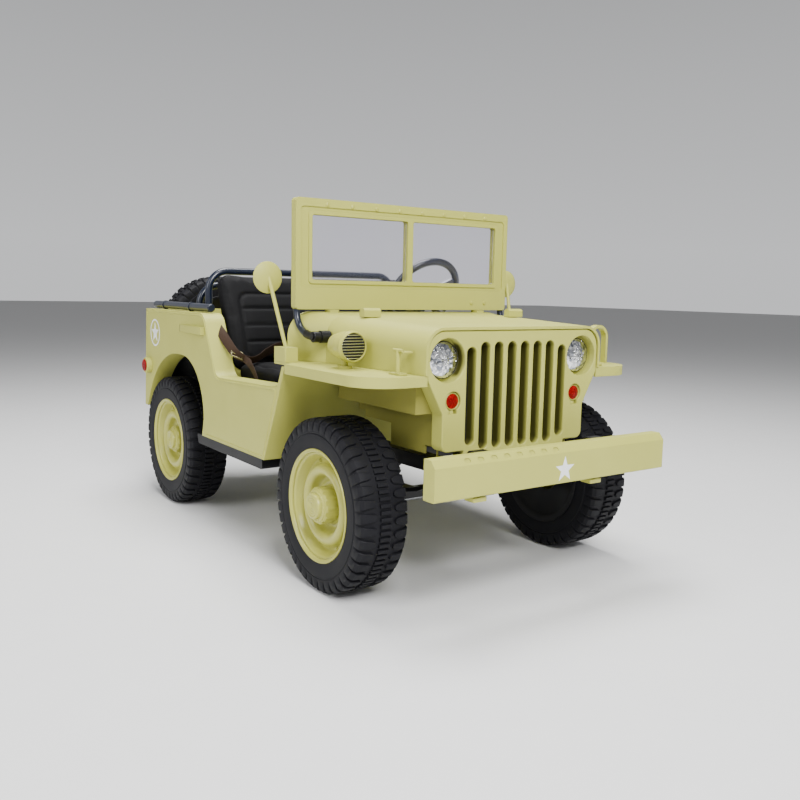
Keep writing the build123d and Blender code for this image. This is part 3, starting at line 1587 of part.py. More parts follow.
# Front leaf springs: bowed strips under the rails, resting on the beam
with BuildPart() as leaf_springs:
    leaf_low_z = axle_z + beam_size / 2 + seat_gap
    leaf_end_z = rail_front_low_z - seat_gap - leaf_thickness
    with BuildSketch(Plane.XZ.offset(-rail_y - leaf_width / 2)):
        with BuildLine():
            ThreePointArc(
                (front_axle_x - leaf_half_length, leaf_end_z),
                (front_axle_x, leaf_low_z),
                (front_axle_x + leaf_half_length, leaf_end_z),
            )
            ThreePointArc(
                (front_axle_x - leaf_half_length, leaf_end_z + leaf_thickness),
                (front_axle_x, leaf_low_z + leaf_thickness),
                (front_axle_x + leaf_half_length, leaf_end_z + leaf_thickness),
            )
            for end in (-1, 1):
                Line(
                    (front_axle_x + end * leaf_half_length, leaf_end_z),
                    (front_axle_x + end * leaf_half_length, leaf_end_z + leaf_thickness),
                )
        make_face()
    extrude(amount=leaf_width)
    mirror(about=Plane.XZ)
leaf_springs.part.label = "leaf_springs"
export_step(leaf_springs.part, "parts/leaf_springs.step")

# Carrier between the tub's tail and the spare rim's centre, with a wing nut outside
with BuildPart() as spare_carrier:
    tail_share = (tub_top_z - spare_z) / (tub_top_z - tub_tail_z)
    tail_x = rear_x(-tub_tail_top - (tub_tail_low - tub_tail_top) * tail_share)
    carrier_end_x = spare_x - (spare_width / 2 - disc_depth - disc_thickness) + seat_gap
    with BuildSketch(Plane.YZ.offset(carrier_end_x)):
        with Locations((spare_y, spare_z)):
            Circle(spare_carrier_radius)
    extrude(amount=tail_x + overrun - carrier_end_x)
    with BuildSketch(Plane.XZ):
        with BuildLine():
            rounded_outline(
                (
                    (rear_x(-tub_tail_top) - seat_gap, tub_top_z, 0),
                    (rear_x(-tub_tail_low) - seat_gap, tub_tail_z, 0),
                    (rear_x(0), tub_tail_z, 0),
                    (rear_x(0), tub_top_z, 0),
                )
            )
        make_face()
    extrude(amount=body_half, both=True, mode=Mode.SUBTRACT)
spare_carrier.part.label = "spare_carrier"
export_step(spare_carrier.part, "parts/spare_carrier.step")

with BuildPart() as spare_nut:
    with BuildSketch(Plane.YZ.offset(spare_x - (spare_width / 2 - disc_depth) - seat_gap)):
        with Locations((spare_y, spare_z)):
            Circle(nut_radius)
    extrude(amount=-nut_reach)
    fillet(spare_nut.edges().group_by(Axis.X)[0], radius=edge_round)
spare_nut.part.label = "spare_nut"
export_step(spare_nut.part, "parts/spare_nut.step")
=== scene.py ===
import logging
import math
from dataclasses import dataclass, field, replace
from enum import Enum

import bmesh
import bpy
import numpy as np
from mathutils import Matrix, Vector

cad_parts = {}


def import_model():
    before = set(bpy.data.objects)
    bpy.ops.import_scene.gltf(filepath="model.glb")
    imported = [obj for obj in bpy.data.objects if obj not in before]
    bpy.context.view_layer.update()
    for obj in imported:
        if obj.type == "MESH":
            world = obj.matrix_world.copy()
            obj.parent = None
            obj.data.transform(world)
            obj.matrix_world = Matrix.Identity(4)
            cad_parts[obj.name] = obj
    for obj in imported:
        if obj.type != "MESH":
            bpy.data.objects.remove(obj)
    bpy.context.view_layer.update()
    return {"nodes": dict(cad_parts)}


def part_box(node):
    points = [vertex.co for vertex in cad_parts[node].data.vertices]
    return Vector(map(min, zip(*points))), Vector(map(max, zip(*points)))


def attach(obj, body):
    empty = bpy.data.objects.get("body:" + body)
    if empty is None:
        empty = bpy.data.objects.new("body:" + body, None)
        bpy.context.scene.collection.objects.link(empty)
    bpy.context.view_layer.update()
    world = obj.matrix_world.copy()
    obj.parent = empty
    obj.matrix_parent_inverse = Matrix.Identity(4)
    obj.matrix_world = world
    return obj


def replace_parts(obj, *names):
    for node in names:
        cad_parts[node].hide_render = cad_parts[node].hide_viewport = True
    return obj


# Sizes are in millimetres in the frame of the CAD model, and become metres when a mesh is made.
MM = 0.001
REAR_X = -467.5
FRONT_X = 432.5
AXLE_Z = 188.0
WHEEL_Y = 328.5
BODY_HALF = 386.0
FULL_TURN = 2 * math.pi
SIDES = ((1, "left"), (-1, "right"))
LOG = logging.getLogger("army_car")
Array = np.ndarray
Point = tuple[float, float, float]
Rows = tuple[tuple[float, ...], ...]

# Ways along the ground that a flat form can face
FORWARD = (1, 0)
BACKWARD = (-1, 0)


def rear_x(ahead: float) -> float:
    """Place along X, counted forward from the rear axle."""
    return REAR_X + ahead


def front_x(back: float) -> float:
    """Place along X, counted back from the front axle."""
    return FRONT_X - back


GRILLE_FACE_X = front_x(-196.0)


def linear(hex_colour: str) -> tuple[float, float, float, float]:
    """Turns an sRGB hex colour to linear light.

    Args:
        hex_colour: Six hex digits, without a sign before them.

    Returns:
        Red, green, blue and an alpha of one.
    """
    parts = [int(hex_colour[i : i + 2], 16) / 255 for i in (0, 2, 4)]
    light = [c / 12.92 if c <= 0.04045 else ((c + 0.055) / 1.055) ** 2.4 for c in parts]
    return (light[0], light[1], light[2], 1.0)


def add_node(tree: bpy.types.NodeTree, kind: str, settings: dict | None = None, links: dict | None = None):
    """Adds one node with its settings and its links.

    Args:
        tree: The node tree that gets the node.
        kind: Blender's name of the node type.
        settings: Values by input name or number, or by attribute name.
        links: Sockets that feed the node, by input name or number.

    Returns:
        The new node.
    """
    made = tree.nodes.new(kind)
    for key, value in (settings or {}).items():
        if isinstance(key, int) or key in made.inputs:
            made.inputs[key].default_value = value
        else:
            setattr(made, key, value)
    for key, socket in (links or {}).items():
        tree.links.new(socket, made.inputs[key])
    return made


class Grain(Enum):
    """How the small relief of a surface is laid out."""

    FINE = "fine"
    PEBBLE = "pebble"
    WEAVE = "weave"
    BRUSHED = "brushed"
    FACETS = "facets"


@dataclass(frozen=True)
class Finish:
    """One surface as it is made: two near colours, gloss with small changes, and its relief.

    The slot names the CAD model's material slots that get this finish, for the finishes listed by slot.
    """

    name: str
    slot: str
    colour: str
    second: str
    mottle: float = 90.0
    roughness: float = 0.45
    spread: float = 0.06
    metallic: float = 0.0
    grain: Grain = Grain.FINE
    grain_size: float = 1.6
    grain_depth: float = 0.05
    soften: float = 1.2
    coat: float = 0.0
    clear: float = 0.0
    ior: float = 1.5
    specular: float = 0.5
    # Painted shade: a darker colour behind the grille's face, in a band of the width, for the slots' shade;
    # empty for none
    painted_shade: str = ""
    painted_shade_start: float = 3.0
    painted_shade_run: float = 11.0
    painted_shade_half: tuple[float, float] = (158.0, 166.0)

    def relief(self, tree: bpy.types.NodeTree, point: bpy.types.NodeSocket) -> bpy.types.NodeSocket:
        """Height pattern of the surface, from 0 to 1.

        Args:
            tree: The material's node tree.
            point: The place on the surface.

        Returns:
            The socket that carries the height.
        """
        scale = 1 / (self.grain_size * MM)
        if self.grain is Grain.WEAVE:
            # A wave texture repeats every 0.314 of its own unit, so this is the thread spacing
            rib = 0.314 * scale
            along = add_node(
                tree, "ShaderNodeTexWave", {"bands_direction": "Y", "Scale": rib}, {"Vector": point}
            )
            across = add_node(
                tree, "ShaderNodeTexWave", {"bands_direction": "X", "Scale": rib}, {"Vector": point}
            )
            return add_node(
                tree, "ShaderNodeMath", {"operation": "MAXIMUM"}, {0: along.outputs[1], 1: across.outputs[1]}
            ).outputs[0]
        if self.grain is Grain.PEBBLE:
            cells = add_node(tree, "ShaderNodeTexVoronoi", {"Scale": scale}, {"Vector": point})
            return cells.outputs["Distance"]
        if self.grain is Grain.FACETS:
            cells = add_node(tree, "ShaderNodeTexVoronoi", {"Scale": scale}, {"Vector": point})
            return add_node(
                tree, "ShaderNodeSeparateColor", {}, {0: cells.outputs["Color"]}
            ).outputs[0]
        if self.grain is Grain.BRUSHED:
            drawn = add_node(
                tree, "ShaderNodeMapping", {"Scale": (1.0, 0.04, 1.0)}, {"Vector": point}
            )
            point = drawn.outputs[0]
        noise = add_node(
            tree, "ShaderNodeTexNoise", {"Scale": scale, "Detail": 3.0, "Roughness": 0.6}, {"Vector": point}
        )
        return noise.outputs[0]

    def painted_slot_shade(
        self, tree: bpy.types.NodeTree, point: bpy.types.NodeSocket, colour: bpy.types.NodeSocket
    ) -> bpy.types.NodeSocket:
        """Painted shade: colour that darkens behind the grille's face, between its lamps only, where its
        slots' walls lie in shade.

        The share is how far the point lies behind the face, over a short run, times one inside
        the slots' part of the width and nought outside it.

        Args:
            tree: The material's node tree.
            point: The place on the surface.
            colour: The colour in front.

        Returns:
            The socket that carries the mixed colour.
        """
        axes = add_node(tree, "ShaderNodeSeparateXYZ", {}, {0: point})
        start = (GRILLE_FACE_X - self.painted_shade_start) * MM
        inner, outer = self.painted_shade_half
        behind = add_node(
            tree,
            "ShaderNodeMapRange",
            {"From Min": start, "From Max": start - self.painted_shade_run * MM},
            {"Value": axes.outputs[0]},
        )
        aside = add_node(tree, "ShaderNodeMath", {"operation": "ABSOLUTE"}, {0: axes.outputs[1]})
        between = add_node(
            tree,
            "ShaderNodeMapRange",
            {"From Min": outer * MM, "From Max": inner * MM},
            {"Value": aside.outputs[0]},
        )
        share = add_node(
            tree, "ShaderNodeMath", {"operation": "MULTIPLY"}, {0: behind.outputs[0], 1: between.outputs[0]}
        )
        mixed = add_node(
            tree,
            "ShaderNodeMix",
            {"data_type": "RGBA", 7: linear(self.painted_shade)},
            {0: share.outputs[0], 6: colour},
        )
        return mixed.outputs[2]

    def material(self) -> bpy.types.Material:
        """The procedural material of this finish, made once."""
        found = bpy.data.materials.get(self.name)
        if found is not None:
            return found
        made = bpy.data.materials.new(self.name)
        made.use_nodes = True
        tree = made.node_tree
        shader = tree.nodes["Principled BSDF"]
        place = add_node(tree, "ShaderNodeTexCoord")
        on_cloth = self.grain is Grain.WEAVE
        point = place.outputs["UV" if on_cloth else "Object"]
        body = place.outputs["Object"]
        cloud = add_node(
            tree, "ShaderNodeTexNoise", {"Scale": 1 / (self.mottle * MM), "Detail": 4.0}, {"Vector": body}
        )
        height = self.relief(tree, point)
        share = cloud.outputs[0]
        if self.grain in (Grain.FACETS, Grain.WEAVE):
            share = height
        tint = add_node(
            tree,
            "ShaderNodeMix",
            {"data_type": "RGBA", 6: linear(self.colour), 7: linear(self.second)},
            {0: share},
        )
        colour = tint.outputs[2]
        # Painted shade on the grille's slot walls
        if self.painted_shade:
            colour = self.painted_slot_shade(tree, body, colour)
        tree.links.new(colour, shader.inputs["Base Color"])
        gloss = add_node(
            tree,
            "ShaderNodeMapRange",
            {"To Min": self.roughness - self.spread, "To Max": self.roughness + self.spread},
            {"Value": cloud.outputs[0]},
        )
        tree.links.new(gloss.outputs[0], shader.inputs["Roughness"])
        edge = add_node(tree, "ShaderNodeBevel", {"samples": 4, "Radius": self.soften * MM})
        bump = add_node(
            tree,
            "ShaderNodeBump",
            {"Strength": 1.0, "Distance": self.grain_depth * MM},
            {"Height": height, "Normal": edge.outputs[0]},
        )
        tree.links.new(bump.outputs[0], shader.inputs["Normal"])
        shader.inputs["Metallic"].default_value = self.metallic
        shader.inputs["Coat Weight"].default_value = self.coat
        shader.inputs["Transmission Weight"].default_value = self.clear
        shader.inputs["Specular IOR Level"].default_value = self.specular
        if self.metallic == 0.0:
            shader.inputs["IOR"].default_value = self.ior
        return made


# Polyethylene body shells, rotation moulded from coloured powder: even satin khaki, faint orange peel
KHAKI = Finish(
    "khaki_polyethylene", "khaki_plastic", "B6B65A", "ACAC51",
    roughness=0.5, grain_size=2.2, grain_depth=0.05, soften=2.2, specular=0.4,
)
# The grille's plastic: the same, with painted shade on its slots' walls, darker behind the face
KHAKI_GRILLE_PAINTED_SHADE = replace(KHAKI, name="khaki_grille_painted_shade", painted_shade="4A4818")
# The panels under the hood, of the same powder: matt, and coloured darker as painted shade
KHAKI_MATT_PAINTED_SHADE = Finish(
    "khaki_matt_painted_shade", "khaki_plastic", "8F8C42", "858139",
    roughness=0.7, grain_size=2.2, grain_depth=0.08, soften=2.2, specular=0.25,
)
# The same plastic in wheels and small injected parts, a little glossier
KHAKI_SMALL = Finish(
    "khaki_injected_plastic", "khaki_plastic", "B5B457", "A9A84D",
    mottle=50.0, roughness=0.3, grain_size=1.4, grain_depth=0.03, specular=0.45,
)
# Foamed EVA tyre tread: bluish black, matt with a soft shine
TYRE = Finish(
    "foamed_eva_tyre", "tyre_black", "0A0A0E", "0F0F15",
    mottle=40.0, roughness=0.6, grain_size=1.2, grain_depth=0.06, soften=0.6, specular=0.22,
)
# Black injected ABS with a fine spark texture
BLACK_PLASTIC = Finish(
    "textured_black_abs", "black_plastic", "08080A", "0D0D10",
    roughness=0.5, grain_size=1.0, grain_depth=0.06, specular=0.3,
)
# Powder coated steel tube: dark blue black, smooth and half glossy
TUBE = Finish(
    "blue_black_powder_coat", "dark_tube", "0C1424", "121B2E",
    mottle=60.0, roughness=0.3, grain_size=1.8, grain_depth=0.03, coat=0.2,
)
# Welded steel under satin black paint
BLACK_STEEL = Finish(
    "satin_black_paint", "black_steel", "0B0B0C", "131314",
    roughness=0.4, grain_size=2.4, grain_depth=0.05, specular=0.35,
)
# Zinc plated pins and nuts: grey metal with a faint cloudy finish
ZINC = Finish(
    "zinc_plated_steel", "bare_steel", "B9BABD", "9EA0A4",
    mottle=20.0, roughness=0.32, metallic=1.0, grain_depth=0.02,
)
# Vacuum metallised reflector behind a cut lens: cells that catch light and sky one by one
REFLECTOR = Finish(
    "metallised_reflector", "lamp_chrome", "FFFFFF", "7B808A", roughness=0.14, spread=0.03,
    metallic=1.0, grain=Grain.FACETS, grain_size=6.0, grain_depth=0.45, soften=0.2,
)
# Chromed ABS of the slats on the round wing fitting: bright, a little soft
CHROME = Finish(
    "chromed_abs", "lamp_chrome", "F4F4F2", "DADAD8",
    mottle=12.0, roughness=0.24, metallic=1.0, grain_depth=0.02,
)
# Silvered mirror
MIRROR = Finish(
    "silvered_mirror", "lamp_chrome", "E4E6EA", "DADDE2",
    roughness=0.05, spread=0.02, metallic=1.0, grain_depth=0.005,
)
# Red acrylic lens with cut facets on its back
RED_LENS = Finish(
    "red_acrylic", "red_lens", "9E0000", "5C0000",
    roughness=0.34, grain=Grain.FACETS, grain_size=4.0, grain_depth=0.2, specular=0.12,
)
# Clear polycarbonate pane with a faint violet cast
PANE = Finish(
    "clear_polycarbonate", "clear_pane", "FBFAFF", "F6F4FF",
    roughness=0.05, spread=0.02, clear=1.0, ior=1.45, grain_depth=0.004,
)
# Red powder coated spring wire
SPRING = Finish(
    "red_powder_coat", "spring_red", "8E0509", "740407", mottle=20.0, roughness=0.35, grain_depth=0.03
)
# Lead-acid battery case in grey polypropylene
GREY = Finish("grey_polypropylene", "grey_trim", "8A897C", "7E7D71", roughness=0.5)
# Artificial leather over foam: black, soft pebble grain
LEATHER = Finish(
    "black_artificial_leather", "seat_skin", "050507", "08080B", mottle=60.0, roughness=0.68,
    grain=Grain.PEBBLE, grain_size=2.0, grain_depth=0.12, soften=0.3, specular=0.18,
)
# Woven polyester belt, brown; threads drawn 1.6 mm apart so that they show
WEBBING = Finish(
    "brown_polyester_webbing", "seat_skin", "24160D", "352417", roughness=0.7,
    grain=Grain.WEAVE, grain_size=1.6, grain_depth=0.3, soften=0.3, specular=0.25,
)
# Olive painted die cast buckle, brass showing through
BUCKLE = Finish(
    "worn_brass", "bare_steel", "6E663C", "4C4628",
    mottle=9.0, roughness=0.36, metallic=0.6, grain_size=1.5, grain_depth=0.06,
)
# Printed white marks
WHITE_PRINT = Finish(
    "white_screen_print", "khaki_plastic", "EEF0F0", "E4E6E6", roughness=0.4, grain_depth=0.02, soften=0.1
)
# Dial faces behind their rings
DIAL = Finish(
    "dial_print", "black_plastic", "101114", "16171A", roughness=0.25, coat=0.5, grain_depth=0.01
)
# Khaki plate that stands behind the slots, coloured near black as painted shade
KHAKI_PLATE_PAINTED_SHADE = Finish(
    "khaki_plate_painted_shade", "khaki_plastic", "161507", "0F0E05", roughness=0.7, grain_size=2.0, grain_depth=0.04
)
# Matt paper of the studio's floor
PAPER = Finish(
    "white_backdrop_paper", "khaki_plastic", "E2E2E2", "DEDEDE", roughness=0.8, grain_depth=0.01, soften=0.1
)

# What the CAD nodes of each slot are made of
SLOT_FINISHES = {
    finish.slot: finish
    for finish in (
        KHAKI, BLACK_PLASTIC, TYRE, LEATHER, TUBE, BLACK_STEEL, ZINC, REFLECTOR, RED_LENS, PANE, SPRING, GREY
    )
}
# Nodes with a finish of their own
NODE_FINISHES = {
    "grille": KHAKI_GRILLE_PAINTED_SHADE,
    "grille_backing": KHAKI_PLATE_PAINTED_SHADE,
    "inner_panels": KHAKI_MATT_PAINTED_SHADE,
    "wing_siren": KHAKI_SMALL,
}


def unit(vectors: Array) -> Array:
    """Each vector over its own length."""
    return vectors / np.linalg.norm(vectors, axis=-1, keepdims=True)


def rounded_rectangle(width: float, height: float, radius: float, steps: int = 4) -> Array:
    """Outline of a rectangle whose corners are quarter circles.

    Args:
        width: Size along the first axis.
        height: Size along the second axis.
        radius: Corner radius.
        steps: Pieces in each quarter circle.

    Returns:
        Points of the outline, counter-clockwise, shape (n, 2).
    """
    quarter = np.linspace(0, math.pi / 2, steps + 1)
    angle = (quarter + np.arange(4)[:, None] * math.pi / 2).ravel()
    corner = np.array(((1, 1), (-1, 1), (-1, -1), (1, -1)), float)
    centre = corner * (width / 2 - radius, height / 2 - radius)
    return np.repeat(centre, steps + 1, axis=0) + radius * np.stack((np.cos(angle), np.sin(angle)), 1)


def star_outline(radius: float, inner_share: float = 0.4) -> Array:
    """Five points on a circle joined through five nearer ones: radius alternates round the turn."""
    angle = np.arange(10) * FULL_TURN / 10 + math.pi / 2
    reach = np.where(np.arange(10) % 2 == 0, radius, radius * inner_share)
    return np.stack((reach * np.cos(angle), reach * np.sin(angle)), 1)


def inset(outline: Array, distance: float) -> Array:
    """Moves each corner of a closed outline inwards, along the mitre of its two sides."""
    side = unit(np.roll(outline, -1, axis=0) - outline)
    normal = np.stack((-side[:, 1], side[:, 0]), 1)
    mitre = normal + np.roll(normal, 1, axis=0)
    return outline + distance * mitre * 2 / np.sum(mitre**2, axis=1, keepdims=True)


@dataclass(frozen=True)
class Place:
    """A local frame: an origin and two directions; the third is their cross product."""

    origin: Point
    right: Point
    up: Point

    def points(self, local: Array) -> Array:
        """Local points in the frame of the car."""
        right = unit(np.array(self.right, float))
        up = unit(np.array(self.up, float))
        axes = np.stack((right, up, np.cross(right, up)))
        return np.array(self.origin) + local @ axes


def facing(spot: Point, way: tuple[int, int]) -> Place:
    """An upright local frame at a spot; its third axis points along the ground, the given way."""
    return Place(spot, (-way[1], way[0], 0), (0, 0, 1))


def slab_rings(outline: Array, low: float, high: float, edge: float) -> Array:
    """An outline raised from low to high, drawn in by edge at its top over the same height."""
    levels = ((outline, low), (outline, high - edge), (inset(outline, edge), high))
    return np.stack([np.column_stack((shape, np.full(len(shape), level))) for shape, level in levels])


def turned_rings(profile: Array | Rows, around: int) -> Array:
    """A profile of (height, radius) turned about the third axis: one ring for each of its points."""
    profile = np.asarray(profile, float)
    angle = np.arange(around) * FULL_TURN / around
    circle = np.stack((np.cos(angle), np.sin(angle)), 1)
    rings = profile[:, 1, None, None] * circle
    heights = np.broadcast_to(profile[:, 0, None, None], rings.shape[:2] + (1,))
    return np.concatenate((rings, heights), axis=2)


def round_section(radius: float, around: int) -> Array:
    """A circle for a section: corners evenly round it, shape (around, 2)."""
    return turned_rings(((0.0, radius), (1.0, radius)), around)[0, :, :2]


def ridged_section(inner: float, outer: float, low: float, side: float, crown: float) -> Rows:
    """Section of a ring: two straight walls, and a ridge over the middle of its width.

    Args:
        inner: Radius of the inner wall.
        outer: Radius of the outer wall.
        low: Height of both walls' feet.
        side: Height of both walls' tops.
        crown: Height of the ridge.

    Returns:
        Heights and radii, from the inner foot to the outer one.
    """
    return (low, inner), (side, inner), (crown, (inner + outer) / 2), (side, outer), (low, outer)


def swept_rings(path: Array, section: Array, up: Array | Point) -> Array:
    """A section carried along a path.

    Its first axis is the cross product of up and the path's direction, and its second one
    the cross product of the direction and the first.

    Args:
        path: Points of the path, shape (n, 3).
        section: Outline, shape (m, 2), or one for each point, shape (n, m, 2).
        up: A direction that is never along the path, shape (3,) or (n, 3).

    Returns:
        Rings, shape (n, m, 3).
    """
    ahead = unit(np.gradient(path, axis=0))
    side = unit(np.cross(up, ahead))
    top = np.cross(ahead, side)
    shapes = np.broadcast_to(section, (len(path),) + section.shape[-2:])
    return path[:, None] + shapes[..., :1] * side[:, None] + shapes[..., 1:] * top[:, None]


def rounded_path(corners: Array, radii: Array, steps: int = 8) -> Array:
    """An open path whose inner corners are arcs that touch both of their stretches.

    Args:
        corners: Points of the path, shape (n, dimensions).
        radii: Radius at each inner corner, shape (n - 2,).
        steps: Pieces in each arc.

    Returns:
        Points of the path, first and last corner included.
    """
    middle = corners[1:-1]
    before, after = unit(corners[:-2] - middle), unit(corners[2:] - middle)
    half = np.arccos(np.clip(np.sum(before * after, axis=1), -1, 1)) / 2
    run = (radii / np.tan(half))[:, None]
    start, end = middle + before * run, middle + after * run
    centre = middle + unit(before + after) * (radii / np.sin(half))[:, None]
    share = np.linspace(0, 1, steps + 1)[:, None]
    chord = (start - centre)[:, None] * (1 - share) + (end - centre)[:, None] * share
    arcs = centre[:, None] + unit(chord) * radii[:, None, None]
    return np.concatenate((corners[:1], arcs.reshape(-1, corners.shape[1]), corners[-1:]))


def smooth_path(corners: Array, steps: int) -> Array:
    """A curve through the corners: each stretch is a cubic whose slope at a corner is half the
    step from the corner before to the one after (Catmull and Rom's rule)."""
    first = 2 * corners[:1] - corners[1:2]
    last = 2 * corners[-1:] - corners[-2:-1]
    held = np.concatenate((first, corners, last))
    place = np.linspace(0, len(corners) - 1, steps * (len(corners) - 1) + 1)
    index = np.minimum(place.astype(int), len(corners) - 2)
    t = (place - index)[:, None]
    a, b, c, d = (held[index + shift] for shift in range(4))
    return 0.5 * (2 * b + (c - a) * t + (2 * a - 5 * b + 4 * c - d) * t**2 + (3 * b - a - 3 * c + d) * t**3)


@dataclass
class Shell:
    """Skins that together make one piece, gathered before its mesh is made."""

    points: list[Array] = field(default_factory=list)
    faces: list[list[int]] = field(default_factory=list)
    count: int = 0

    def loft(self, rings: Array, looped: bool = False) -> None:
        """Joins rings into closed skins; more leading axes are further copies.

        Args:
            rings: Shape (..., levels, around, 3), in millimetres.
            looped: True where the last ring joins the first; otherwise both ends get a cap.
        """
        rings = rings.reshape((-1,) + rings.shape[-3:])
        index = self.count + np.arange(rings[..., 0].size).reshape(rings.shape[:3])
        low = index if looped else index[:, :-1]
        high = np.roll(index, -1, axis=1) if looped else index[:, 1:]
        corners = (low, np.roll(low, -1, axis=2), np.roll(high, -1, axis=2), high)
        self.faces += np.stack(corners, axis=-1).reshape(-1, 4).tolist()
        if not looped:
            self.faces += index[:, 0, ::-1].tolist() + index[:, -1].tolist()
        self.points.append(rings.reshape(-1, 3))
        self.count += rings[..., 0].size

    def piece(self, name: str, body: str, finish: Finish, crease: float = 35.0) -> bpy.types.Object:
        """Makes the mesh, turns its faces outwards, dresses it and lets it ride on its body.

        Args:
            name: The piece's name.
            body: The CAD body that it moves with.
            finish: Its surface.
            crease: Edges sharper than this many degrees stay sharp.

        Returns:
            The new object.
        """
        mesh = bpy.data.meshes.new(name)
        mesh.from_pydata((np.concatenate(self.points) * MM).tolist(), [], self.faces)
        work = bmesh.new()
        work.from_mesh(mesh)
        bmesh.ops.remove_doubles(work, verts=work.verts, dist=1e-6)
        bmesh.ops.recalc_face_normals(work, faces=work.faces)
        work.to_mesh(mesh)
        work.free()
        mesh.shade_smooth()
        mesh.set_sharp_from_angle(angle=math.radians(crease))
        made = bpy.data.objects.new(name, mesh)
        bpy.context.scene.collection.objects.link(made)
        mesh.materials.append(finish.material())
        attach(made, body)
        LOG.info("%s: %d faces on %s", name, len(mesh.polygons), body)
        return made


